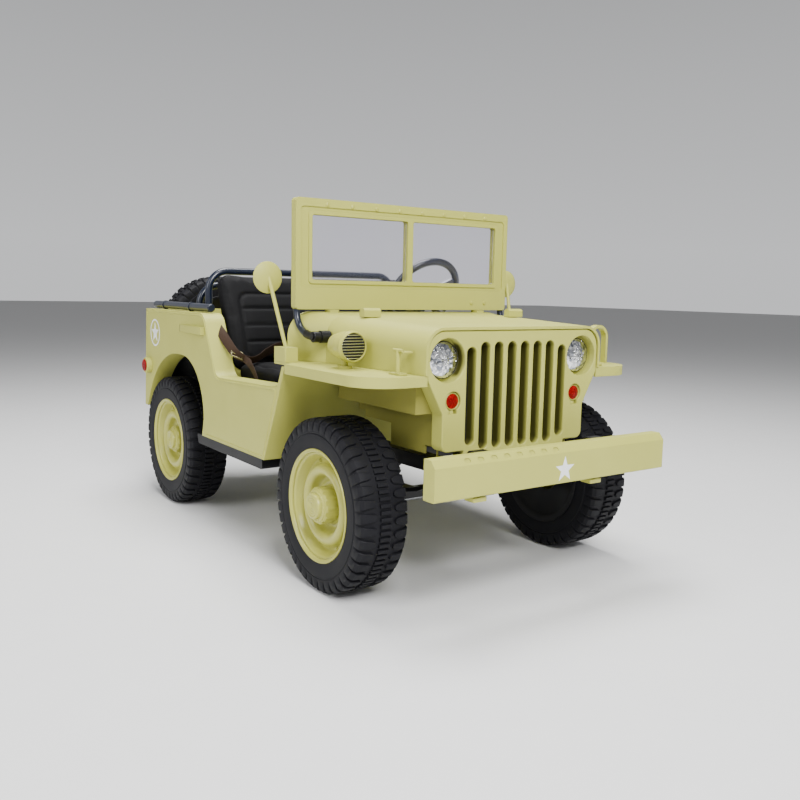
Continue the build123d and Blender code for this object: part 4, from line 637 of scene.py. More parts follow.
@dataclass
class Tyre:
    """A tyre with rounded tongues over both shoulders and a row of bars between them.

    Rows of the foot, the crown and the lugs' sides start with a distance in from the tyre's side,
    and go on with the radius. The lugs' tops start with a distance from the tyre's middle. Both
    lug tables end with the rise above the ring and half the width.
    """

    name: str
    body: str
    centre: Point
    axle: Point = (0.0, 1.0, 0.0)
    across: Point = (1.0, 0.0, 0.0)
    width: float = 115.0
    full_width: float = 115.0
    radius: float = 188.0
    tongues: int = 42
    around: int = 168
    wall_radii: tuple[float, float] = (124.5, 151.5)
    wall_inset: float = 2.6
    wall_bulge: float = 2.2
    ridge_count: int = 12
    ridge_rise: float = 0.22
    foot: Rows = ((7.8, 112.3), (7.8, 123.0), (3.0, 123.0))
    crown: Rows = (
        (0.4, 153.5), (1.8, 155.0), (1.8, 156.2), (0.9, 157.6), (1.2, 163.0), (2.6, 170.0),
        (4.6, 176.0), (9.0, 180.6), (16.0, 182.2),
    )
    flat_share: float = 0.35
    flat_radius: float = 182.9
    middle_radius: float = 183.0
    lug_sides: Rows = (
        (1.6, 157.8, 0.3, 10.6), (1.7, 163.5, 1.5, 10.9), (3.0, 170.5, 2.8, 11.2),
        (5.2, 176.5, 4.4, 11.2), (10.5, 181.6, 5.0, 10.6),
    )
    lug_tops: Rows = (
        (41.0, 182.8, 4.8, 9.6), (34.0, 183.2, 4.5, 8.8), (28.5, 183.5, 4.4, 7.8),
        (25.0, 183.6, 4.3, 6.4), (22.8, 183.7, 4.2, 4.2), (21.6, 183.7, 4.1, 2.0),
    )
    lug_shares: Rows = ((-1.0, -0.95, -0.82, 0.82, 0.95, 1.0), (-2.5, 0.7, 1.0, 1.0, 0.7, -2.5))
    bar_ends: Rows = ((-12.6, -11.2, 11.2, 12.6), (3.4, 4.8, 4.8, 3.4))
    bar_radius: float = 183.2
    bar_half: float = 4.3
    bar_sink_share: float = -0.4

    def side_profile(self) -> Array:
        """One half of the section: the seat, the bead, a ridged sidewall, a line, the shoulder.

        Each sidewall ridge is the wall's even bulge plus or minus a fraction of a millimetre.
        """
        half = self.width / 2
        height = np.linspace(*self.wall_radii, self.ridge_count)
        share = (height - height[0]) / (height[-1] - height[0])
        bulge = half - self.wall_inset + self.wall_bulge * np.sin(share * math.pi / 2)
        bulge = bulge + self.ridge_rise * np.where(np.arange(self.ridge_count) % 2 == 0, -1, 1)
        wall = np.column_stack((bulge, height))
        foot, crown = ((half, 0.0) + np.array(rows) * (-1, 1) for rows in (self.foot, self.crown))
        return np.concatenate((foot, wall, crown, [(half * self.flat_share, self.flat_radius)]))

    def placed(self, along: Array, radial: Array, tangent: Array, angle: Array) -> Array:
        """Points given along the axle, away from it and round it, turned by an angle.

        Args:
            along: Places along the axle.
            radial: Distances from the axle, before the sideways step.
            tangent: Sideways steps.
            angle: Turns, one for each copy, shape (copies,).

        Returns:
            Points, shape (copies,) + along.shape + (3,).
        """
        axle = np.array(self.axle)
        across = np.array(self.across)
        upward = np.cross(axle, across) * -1
        turn = angle.reshape((-1,) + (1,) * (along.ndim + 1))
        outward = np.cos(turn) * across + np.sin(turn) * upward
        onward = -np.sin(turn) * across + np.cos(turn) * upward
        return (
            np.array(self.centre)
            + along[..., None] * axle
            + radial[..., None] * outward
            + tangent[..., None] * onward
        )

    def carcass(self, shell: Shell) -> None:
        """The ring below the tread: the half section and its mirror image turned round the axle."""
        half = self.side_profile()
        profile = np.concatenate((half, [(0.0, self.middle_radius)], half[::-1] * (-1, 1)))
        angle = np.arange(self.around) * FULL_TURN / self.around
        rings = self.placed(profile[:, 0], profile[:, 1], np.zeros(len(profile)), angle)
        shell.loft(np.swapaxes(rings, 0, 1), looped=True)

    def blocks(self, shell: Shell) -> None:
        """Tongues and bars: a low trapezium carried over the shoulder, its end drawn to a point."""
        half = self.width / 2
        spread = self.width / self.full_width
        sides, tops = np.array(self.lug_sides), np.array(self.lug_tops)
        along = np.concatenate((half - sides[:, 0], tops[:, 0] * spread))
        radial, rise, wide = np.concatenate((sides[:, 1:], tops[:, 1:])).T
        step_along = np.gradient(along)
        step_radial = np.gradient(radial)
        size = np.hypot(step_along, step_radial)
        out_along, out_radial = step_radial / size, -step_along / size
        sideways, height = np.array(self.lug_shares)
        lift = np.where(height < 0, height, height * rise[:, None])
        lug_along = along[:, None] + out_along[:, None] * lift
        lug_radial = np.minimum(radial[:, None] + out_radial[:, None] * lift, self.radius)
        lug_along = np.minimum(lug_along, half)
        step = FULL_TURN / self.tongues
        turns = np.arange(self.tongues) * FULL_TURN / self.tongues
        for side, shift in ((1, 0.0), (-1, step / 2)):
            shell.loft(self.placed(side * lug_along, lug_radial, wide[:, None] * sideways, turns + shift))
        ends, tops = np.array(self.bar_ends)[..., None]
        bar_along = ends * spread * np.ones(len(sideways))
        bar_rise = tops * np.where(height < 0, self.bar_sink_share, height)
        bar_wide = self.bar_half * sideways * np.ones((len(ends), 1))
        turns = np.arange(2 * self.tongues) * step / 2
        shell.loft(self.placed(bar_along, self.bar_radius + bar_rise, bar_wide, turns + step / 4))

    def build(self) -> None:
        """Makes the tyre and lets it stand for the plain ring of the CAD model."""
        shell = Shell()
        self.carcass(shell)
        self.blocks(shell)
        made = shell.piece(f"tread_{self.name}", self.body, TYRE, crease=28.0)
        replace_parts(made, f"tyre_{self.name}")


@dataclass
class Rim:
    """A dished rim with a rounded ring, a stepped lip, a hub drum, and a black disc inboard.

    Its tables are profiles of heights and radii. Heights count outwards along the axle: from the
    disc in disc_steps and drum_foot, from the outer face in lip, from the inboard face in
    inboard_lip and the disc behind the wheel, and from the hub's end in drum.
    """

    name: str
    body: str
    centre: Point
    outward: Point
    across: Point
    width: float = 115.0
    hub_reach: float | None = 9.0
    around: int = 96
    ring_middle: float = 76.0
    ring_round: float = 13.0
    ring_depth: float = 28.5
    ring_steps: int = 13
    disc_depth: float = 42.0
    disc_back: float = 49.0
    disc_steps: Rows = (
        (0.0, 43.0), (1.6, 45.0), (1.6, 51.0), (0.0, 53.0), (0.0, 56.5), (2.0, 59.6), (7.0, 62.0)
    )
    lip: Rows = (
        (-33.0, 90.2), (-34.6, 92.4), (-34.6, 100.4), (-32.0, 103.4), (-14.0, 107.6), (-9.6, 110.0),
        (-8.2, 113.4), (-5.0, 114.6), (-4.4, 116.4), (-1.9, 118.0), (-0.7, 120.0), (-1.3, 121.8),
        (-3.6, 122.7), (-7.4, 122.7), (-7.4, 112.2),
    )
    inboard_lip: Rows = ((7.4, 112.2), (7.4, 122.7), (1.5, 122.7), (1.5, 118.0), (5.4, 108.0))
    inner_wall: Rows = ((-40.0, 107.0), (-40.0, 92.0), (-46.0, 62.0), (-49.0, 58.0), (-49.0, 22.0))
    ripple_reach: tuple[float, float] = (1.5, 25.5)
    ripple_count: int = 49
    ripple_pitch: float = 5.6
    ripple_rise: float = 0.6
    ripple_drop: float = 0.8
    drum: Rows = (
        (-1.4, 26.8), (-3.4, 28.0), (-8.8, 28.4), (-9.2, 33.0), (-11.2, 35.4), (-12.8, 35.6),
        (-13.8, 37.6), (-19.0, 38.4),
    )
    drum_foot: Rows = ((4.0, 38.8), (2.0, 41.0))
    bore: float = 8.2
    bore_depth: float = 9.4
    sleeve_radius: float = 22.0
    sleeve_depth: float = 95.0
    boss_shares: Rows = ((0.3, 1.15), (0.8, 0.8), (1.0, 0.0))
    boss_foot: tuple[float, float] = (-1.2, 1.3)
    stud_count: int = 8
    studs: tuple[float, ...] = (97.0, -34.6, 3.4, 6.0)
    hub_boss_count: int = 20
    hub_bosses: Rows = ((31.2, -9.2, 1.6, 1.8), (38.4, -17.0, 1.5, 1.0))
    rib_count: int = 10
    rib_ends: tuple[float, float] = (5.0, 15.0)
    rib_edge: float = 1.5
    rib_lift: float = 1.6
    rib_radii: tuple[float, float] = (34.0, 38.2)
    rib_half_angle: float = 0.2
    rib_steps: int = 6
    eye_radii: tuple[float, float] = (44.0, 61.0)
    eye_rim: float = 16.0
    back_face: Rows = ((2.7, 124.4), (-0.1, 124.4), (-0.8, 123.7), (-0.8, 117.0), (4.2, 107.2), (9.0, 100.0))
    back_inside: Rows = ((12.0, 99.0), (6.6, 106.4), (5.0, 108.1), (1.0, 118.2), (1.0, 122.9), (2.7, 122.9))
    eye_heights: tuple[float, ...] = (17.0, 21.0, 24.0, 20.0)
    back_around: int = 72

    def place(self) -> Place:
        """Local frame whose third axis points out of the wheel."""
        outward = np.array(self.outward)
        across = np.array(self.across)
        return Place(self.centre, tuple(across), tuple(np.cross(outward, across)))

    def front_profile(self) -> Array:
        """Heights and radii of the face, from the disc out to the lip.

        The ring's crown is half a circle; the rest is straight steps.
        """
        turn = np.linspace(0, math.pi, self.ring_steps)
        crown = np.column_stack((np.sin(turn), -np.cos(turn))) * self.ring_round
        ring = crown + (-self.ring_depth, self.ring_middle)
        disc = np.array(self.disc_steps) - (self.disc_depth, 0.0)
        return np.concatenate((disc, ring, self.lip))

    def back_profile(self) -> Array:
        """Heights and radii of the inboard side, from the lip in to the middle."""
        lip = np.array(self.inboard_lip) - (self.width, 0.0)
        return np.concatenate((lip, self.inner_wall))

    def hub_profile(self, end: float) -> Array:
        """Heights and radii of the hub: a cap with rings like ripples, a shoulder and the drum."""
        reach = np.linspace(*self.ripple_reach, self.ripple_count)
        wave = self.ripple_rise * np.cos(reach * FULL_TURN / self.ripple_pitch)
        ripple = np.column_stack((end - self.ripple_drop + wave, reach))
        drum = np.array(self.drum) + (end, 0.0)
        foot = np.array(self.drum_foot) - (self.disc_depth, 0.0)
        crown = (end - self.ripple_drop + self.ripple_rise, 0.0)
        return np.concatenate(([crown], ripple, drum, foot))

    def bosses(
        self, shell: Shell, count: int, reach: float, level: float, radius: float, rise: float
    ) -> None:
        """Low domed studs on a circle: one turned profile, moved round the axle."""
        sink, foot_share = self.boss_foot
        dome = np.array(self.boss_shares) * (rise, radius)
        profile = np.concatenate(([(sink, radius * foot_share)], dome))
        angle = (np.arange(count) + 0.5) * FULL_TURN / count
        middle = reach * np.stack((np.cos(angle), np.sin(angle), np.zeros(count)), 1)
        studs = turned_rings(profile, 10) + middle[:, None, None] + (0.0, 0.0, level)
        shell.loft(self.place().points(studs))

    def ribs(self, shell: Shell, end: float) -> None:
        """Flat lobes round the drum: a patch of its wall, lifted a little."""
        low, high = self.rib_ends[0] - self.disc_depth, end - self.rib_ends[1]
        levels = np.array((low, low + self.rib_edge, high - self.rib_edge, high))
        lift = self.rib_lift * np.array((0.0, 1.0, 1.0, 0.0))
        raised = np.minimum(np.arange(self.rib_steps), 1) * np.minimum(np.arange(self.rib_steps)[::-1], 1)
        turn = np.linspace(-self.rib_half_angle, self.rib_half_angle, self.rib_steps)
        root, wall = self.rib_radii
        outer = wall + lift[:, None] * raised
        angle = np.arange(self.rib_count)[:, None] * FULL_TURN / self.rib_count + turn
        radii = np.concatenate((outer, np.full(outer.shape, root)), axis=1)
        turns = np.concatenate((angle, angle[:, ::-1]), axis=1)[:, None]
        height = np.broadcast_to(levels[:, None], (self.rib_count,) + radii.shape)
        points = np.stack((radii * np.cos(turns), radii * np.sin(turns), height), axis=-1)
        shell.loft(self.place().points(points))

    def back_disc(self) -> None:
        """The dark dished disc that closes the wheel's inboard side, with an eye in its middle."""
        eye = self.eye_radii[self.hub_reach is None]
        reaches = (eye + self.eye_rim, eye, eye, eye + self.eye_rim)
        edge = np.column_stack((self.eye_heights, reaches))
        dish = np.concatenate((self.back_face, edge, self.back_inside)) - (self.width, 0.0)
        shell = Shell()
        points = self.place().points(turned_rings(dish, self.back_around))
        shell.loft(points + self.width / 2 * np.array(self.outward), looped=True)
        shell.piece(f"wheel_back_{self.name}", self.body, BLACK_PLASTIC)

    def build(self) -> None:
        """Turns the rim, adds the small forms of its hub, and the dark disc behind it."""
        shell = Shell()
        if self.hub_reach is None:
            middle = [(-self.disc_depth, 0.0)]
            tail = [(-self.disc_back, 0.0)]
        else:
            end = self.hub_reach
            middle = self.hub_profile(end)
            floor = end - self.bore_depth
            tail = [
                (-self.sleeve_depth, self.sleeve_radius), (-self.sleeve_depth, self.bore),
                (floor, self.bore), (floor, 0.0),
            ]
            self.ribs(shell, end)
            for reach, level, radius, rise in self.hub_bosses:
                self.bosses(shell, self.hub_boss_count, reach, end + level, radius, rise)
        profile = np.concatenate((middle, self.front_profile(), self.back_profile(), tail))
        shell.loft(self.place().points(turned_rings(profile, self.around)))
        self.bosses(shell, self.stud_count, *self.studs)
        for points in shell.points:
            points += self.width / 2 * np.array(self.outward)
        made = shell.piece(f"rim_face_{self.name}", self.body, KHAKI_SMALL, 40.0)
        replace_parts(made, f"rim_{self.name}")
        self.back_disc()


@dataclass(frozen=True)
class Lens:
    """Sizes of one cut lens: its place, its dome, and how far it and its skirt lie behind the face."""

    across: float
    up: float
    radius: float
    dome: float
    sink: float
    rows: int
    around: int
    seat: float


@dataclass
class Lamps:
    """Headlamps with cut reflectors and small red lamps, in their recesses in the grille.

    A ring's heights are those of its feet, its walls' tops and its ridge.
    """

    head: Lens = Lens(192.0, 507.0, radius=37.7, dome=8.0, sink=9.0, rows=7, around=22, seat=23.0)
    signal: Lens = Lens(176.0, 423.0, radius=16.0, dome=3.5, sink=1.0, rows=4, around=12, seat=12.0)
    skirt_gap: float = 0.5
    inner_share: float = 0.12
    ripple_share: float = 0.07
    # Black ring round each headlamp: it closes the recess's edge, and its black is a painted shadow line
    # there
    shadow_ring_radii: tuple[float, float] = (-1.4, 0.9)
    shadow_ring_heights: tuple[float, ...] = (-14.0, -8.6, -7.4)
    ring_radii: tuple[float, float] = (-0.2, 2.0)
    ring_heights: tuple[float, ...] = (-12.0, -4.0, -3.2)
    tab_drop: float = 24.0
    tab_size: tuple[float, float, float] = (11.0, 12.0, 4.0)
    tab_slab: tuple[float, float, float] = (-14.2, -5.0, 1.5)

    def spot(self, lens: Lens, side: int, drop: float = 0.0) -> Place:
        """Local frame on the grille's face, in the middle of a lens or below it."""
        return facing((GRILLE_FACE_X, side * lens.across, lens.up - drop), FORWARD)

    def faceted(self, lens: Lens) -> Array:
        """A dome whose rings are turned by half a step, one against the next, so that it is cut
        into triangles: height falls with the square of the distance from the middle."""
        reach = np.linspace(1.0, self.inner_share, lens.rows)
        shift = (np.arange(lens.rows) % 2) * math.pi / lens.around
        angle = np.arange(lens.around) * FULL_TURN / lens.around + shift[:, None]
        height = lens.dome * (1 - reach**2)
        ripple = self.ripple_share * lens.dome * np.where(np.arange(lens.around) % 2 == 0, 1, -1)
        heights = height[:, None] + ripple * (1 - reach[:, None])
        wide = reach[:, None] * lens.radius
        plan = np.stack((wide * np.cos(angle), wide * np.sin(angle)), -1)
        return np.concatenate((plan, heights[..., None]), axis=2)

    def build(self) -> None:
        """Makes the lamps of both sides, their rings and the tab under each small one."""
        glass, red, rings, tabs, shadow_rings = Shell(), Shell(), Shell(), Shell(), Shell()
        for side, _ in SIDES:
            for shell, lens in ((glass, self.head), (red, self.signal)):
                base = -lens.sink - lens.dome
                rim = ((-lens.seat, lens.radius), (base - self.skirt_gap, lens.radius))
                face = self.faceted(lens) + (0.0, 0.0, base)
                both = np.concatenate((turned_rings(rim, lens.around), face))
                shell.loft(self.spot(lens, side).points(both))
            # Painted shadow: a black ring at the headlamp's edge
            inner, outer = (self.head.radius + step for step in self.shadow_ring_radii)
            heights = (height - self.head.sink for height in self.shadow_ring_heights)
            shadow_ring = turned_rings(ridged_section(inner, outer, *heights), 72)
            shadow_rings.loft(self.spot(self.head, side).points(shadow_ring), looped=True)
            inner, outer = (self.signal.radius + step for step in self.ring_radii)
            ring = turned_rings(ridged_section(inner, outer, *self.ring_heights), 48)
            rings.loft(self.spot(self.signal, side).points(ring), looped=True)
            tab = slab_rings(rounded_rectangle(*self.tab_size), *self.tab_slab)
            tabs.loft(self.spot(self.signal, side, self.tab_drop).points(tab))
        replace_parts(glass.piece("headlamp_reflectors", "car_body", REFLECTOR, 3.0), "headlamps")
        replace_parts(red.piece("signal_lenses", "car_body", RED_LENS, 3.0), "signal_lamps")
        rings.piece("lamp_rims", "car_body", KHAKI_SMALL)
        tabs.piece("signal_tabs", "car_body", KHAKI_SMALL)
        shadow_rings.piece("lamp_painted_shadow_rings", "car_body", BLACK_PLASTIC)


@dataclass
class Marks:
    """Plain white stars, one on the bumper and one in a ring on each side."""

    bumper_x: float = 765.5
    bumper_star: tuple[float, float] = (12.0, 288.0)
    bumper_star_radius: float = 28.0
    side_star: tuple[float, float] = (-94.0, 503.0)
    side_star_radius: float = 31.0
    ring_radii: tuple[float, float] = (36.0, 41.0)
    low: float = -0.3
    high: float = 0.35
    edge: float = 0.1

    def build(self) -> None:
        """Makes each mark as a print a fraction of a millimetre thick."""
        shell = Shell()
        spot = facing((self.bumper_x, *self.bumper_star), FORWARD)
        star = slab_rings(star_outline(self.bumper_star_radius), self.low, self.high, self.edge)
        shell.loft(spot.points(star))
        back, up = self.side_star
        inner, outer = self.ring_radii
        low, high = self.low, self.high
        ring = turned_rings(((low, inner), (high, inner), (high, outer), (low, outer)), 72)
        star = slab_rings(star_outline(self.side_star_radius), self.low, self.high, self.edge)
        for side, _ in SIDES:
            spot = facing((rear_x(back), side * BODY_HALF, up), (0, side))
            shell.loft(spot.points(star))
            shell.loft(spot.points(ring), looped=True)
        shell.piece("white_stars", "car_body", WHITE_PRINT)


@dataclass
class ScreenTrim:
    """Rivets and bolts on the windscreen's frame, and its two bent arms with their eyes.

    Profiles of heads are heights and radii; the arm's path is places from the rear axle and up.
    """

    face_x: float = front_x(212.0)
    rivet_z: float = 838.5
    rivet_reach: float = 240.0
    rivet_count: int = 8
    rivet_profile: Rows = ((-0.5, 5.8), (0.8, 5.4), (2.2, 3.6), (2.8, 0.0))
    bolts: Rows = ((203.0, 616.5), (248.0, 616.5))
    bolt_profile: Rows = ((-0.5, 6.4), (0.8, 6.0), (2.6, 4.4), (3.2, 0.0))
    arm_y: float = 314.0
    arm_radius: float = 8.0
    arm_path: Rows = (
        (677.5, 596.8), (678.5, 588.0), (683.0, 574.0), (694.0, 559.0), (712.0, 547.5), (734.0, 541.0),
        (758.0, 538.5),
    )
    sleeve_wall: float = 1.6
    sleeve_points: int = 12
    eye: tuple[float, float] = (770.0, 538.0)
    eye_half: float = 9.0
    eye_radii: tuple[float, float] = (5.6, 12.4)
    eye_edge: float = 1.0

    def arms(self) -> None:
        """A round tube along one smooth bend, a sleeve over its end, and the eye round the pin."""
        tubes, ends = Shell(), Shell()
        across = (0.0, 1.0, 0.0)
        inner, outer = self.eye_radii
        half, edge = self.eye_half, self.eye_edge
        ring = turned_rings(
            ((-half, inner), (-half, outer - edge), (edge - half, outer), (half - edge, outer),
             (half, outer - edge), (half, inner)), 40,
        )
        for side, _ in SIDES:
            flat = np.array(self.arm_path)
            middle = np.full(len(flat), side * self.arm_y)
            line = smooth_path(np.column_stack((flat[:, 0] + REAR_X, middle, flat[:, 1])), 8)
            tubes.loft(swept_rings(line, round_section(self.arm_radius, 16), across))
            sleeve = round_section(self.arm_radius + self.sleeve_wall, 16)
            ends.loft(swept_rings(line[-self.sleeve_points :], sleeve, across))
            spot = facing((rear_x(self.eye[0]), side * self.arm_y, self.eye[1]), (0, -1))
            ends.loft(spot.points(ring), looped=True)
        made = tubes.piece("screen_arm_tubes", "windscreen", TUBE, 60.0)
        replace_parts(made, "screen_arms")
        ends.piece("screen_arm_ends", "windscreen", BLACK_STEEL, 40.0)

    def build(self) -> None:
        """Makes the heads as low domes on the frame's front face, then the arms."""
        self.arms()
        shell = Shell()
        face = facing((self.face_x, 0.0, 0.0), FORWARD)
        across = np.linspace(-self.rivet_reach, self.rivet_reach, self.rivet_count)
        rivets = [(reach, self.rivet_z) for reach in across]
        for spots, profile, around in (
            (rivets, self.rivet_profile, 12), (self.bolts, self.bolt_profile, 14)
        ):
            places = np.column_stack((np.array(spots), np.zeros(len(spots))))
            shell.loft(face.points(turned_rings(profile, around) + places[:, None, None]))
        shell.piece("screen_rivets", "windscreen", KHAKI_SMALL)


@dataclass
class SirenFace:
    """Bright level slats in front of a dark dish, on the round wing fitting."""

    centre: Point = (front_x(-22.0), -310.0, 526.0)
    radius: float = 29.0
    dish: tuple[float, float] = (-0.5, 0.4)
    slats: int = 9
    pitch: float = 6.1
    slat_height: float = 2.0
    slat_depth: tuple[float, float] = (2.6, 3.6)
    slat_draw_share: float = 0.72
    slat_round_share: float = 0.3
    rim_width: float = 2.4
    rim_heights: tuple[float, ...] = (-0.5, 3.0, 4.2)

    def build(self) -> None:
        """Makes the dish and the slats; a slat is as long as the circle is wide at its height."""
        spot = facing(self.centre, FORWARD)
        low, high = self.dish
        dish, bars, hoop = Shell(), Shell(), Shell()
        dish.loft(spot.points(turned_rings(((low, self.radius), (high, self.radius), (high, 0.0)), 48)))
        dish.piece("siren_dish", "car_body", BLACK_PLASTIC)
        height = (np.arange(self.slats) - (self.slats - 1) / 2) * self.pitch
        length = 2 * np.sqrt(self.radius**2 - height**2)
        section = rounded_rectangle(1.0, 1.0, self.slat_round_share)
        levels = np.array((0.0, *self.slat_depth))
        shrink = np.array((1.0, 1.0, self.slat_draw_share))[:, None]
        across = section[:, 0] * shrink * length[:, None, None]
        up = section[:, 1] * shrink * self.slat_height + height[:, None, None]
        out = np.broadcast_to(levels[:, None], across.shape)
        bars.loft(spot.points(np.stack((across, up, out), axis=-1)))
        rim = ridged_section(self.radius, self.radius + self.rim_width, *self.rim_heights)
        hoop.loft(spot.points(turned_rings(rim, 56)), looped=True)
        hoop.piece("siren_rim", "car_body", KHAKI_SMALL)
        bars.piece("siren_slats", "car_body", CHROME)


@dataclass
class Coils:
    """Wound springs between the rear axle's blocks and the tub."""

    wire: float = 3.0
    pitch: float = 11.5
    steps: int = 20

    def build(self) -> None:
        """A round wire carried along a screw line: angle and height grow together."""
        low, high = (np.array(corner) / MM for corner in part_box("rear_springs"))
        reach = (high[0] - low[0]) / 2 - self.wire
        shell = Shell()
        rise = high[2] - low[2] - 2 * self.wire
        turns = rise / self.pitch
        share = np.linspace(0, 1, int(turns * self.steps))
        angle = share * turns * FULL_TURN
        for side, _ in SIDES:
            across = side * (max(abs(low[1]), abs(high[1])) - (high[0] - low[0]) / 2)
            along = (low[0] + high[0]) / 2 + reach * np.cos(angle)
            level = low[2] + self.wire + share * rise
            path = np.stack((along, across + reach * np.sin(angle), level), 1)
            shell.loft(swept_rings(path, round_section(self.wire, 8), (0.0, 0.0, 1.0)))
        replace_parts(shell.piece("coil_springs", "car_body", SPRING, 60.0), "rear_springs")


@dataclass
class Tub:
    """What lies on the tub's sides: black sheets in the arches, which paint the shade there, and a raised
    bead round each side.

    Both outlines are corners: places from the rear axle, up, and each corner's radius.
    """

    arch: Rows = (
        (-173.0, 262.0, 0.0), (-173.0, 272.0, 3.0), (-70.0, 452.0, 280.0), (285.0, 452.0, 158.0),
        (285.0, 289.0, 3.0), (270.0, 250.0, 0.0),
    )
    shade_sheet_inset: float = 1.2
    shade_sheet_thickness: float = 1.4
    shade_sheet_outer: float = 332.0
    shade_sheet_inner: float = 187.6
    side: Rows = (
        (-163.0, 556.0, 0.0), (-166.0, 568.0, 4.0), (286.0, 568.0, 38.0), (369.5, 404.5, 40.0),
        (715.0, 416.5, 6.0), (648.0, 249.5, 4.0), (300.0, 249.5, 0.0),
    )
    bead_width: float = 5.0
    bead_rise: float = 1.6
    bead_levels: tuple[float, float] = (-0.8, 0.2)
    bead_top_share: float = 0.6

    def painted_shade_sheets(self) -> None:
        """A thin black cup in each rear arch as painted shade: a strip round the arch's own outline, and its
        end wall.
        """
        table = np.array(self.arch)
        outline = rounded_path(table[:, :2], table[1:-1, 2], 14)
        ahead = unit(np.gradient(outline, axis=0))
        inward = np.stack((ahead[:, 1], -ahead[:, 0]), 1)
        outer = outline + inward * self.shade_sheet_inset
        inner = outer + inward * self.shade_sheet_thickness
        shell = Shell()
        for side, _ in SIDES:
            for near, far, ring in (
                (self.shade_sheet_inner, self.shade_sheet_outer, np.concatenate((outer, inner[::-1]))),
                (self.shade_sheet_inner, self.shade_sheet_inner + self.shade_sheet_thickness, outer),
            ):
                flat = np.column_stack((ring[:, 0] + REAR_X, np.zeros(len(ring)), ring[:, 1]))
                shell.loft(np.stack([flat + (0.0, side * reach, 0.0) for reach in (near, far)]))
        # Black sheets that paint the shade inside the rear arches
        shell.piece("arch_painted_shade_sheets", "car_body", BLACK_PLASTIC)

    def beads(self) -> None:
        """A low rounded strip a little inside the side's edge, from the tail down to the board."""
        table = np.array(self.side)
        flat = rounded_path(table[:, :2], table[1:-1, 2], 10)
        shell = Shell()
        wide, top = self.bead_width / 2, self.bead_width / 2 * self.bead_top_share
        low, brink = self.bead_levels
        half = np.array(((wide, low), (wide, brink), (top, self.bead_rise)))
        section = np.concatenate((half * (-1, 1), half[::-1]))
        for side, _ in SIDES:
            path = np.column_stack((flat[:, 0] + REAR_X, np.full(len(flat), side * BODY_HALF), flat[:, 1]))
            shell.loft(swept_rings(path, section, (0.0, float(side), 0.0)))
        shell.piece("side_beads", "car_body", KHAKI)

    def build(self) -> None:
        """Makes the black sheets of painted shade in the arches, and the beads."""
        self.painted_shade_sheets()
        self.beads()


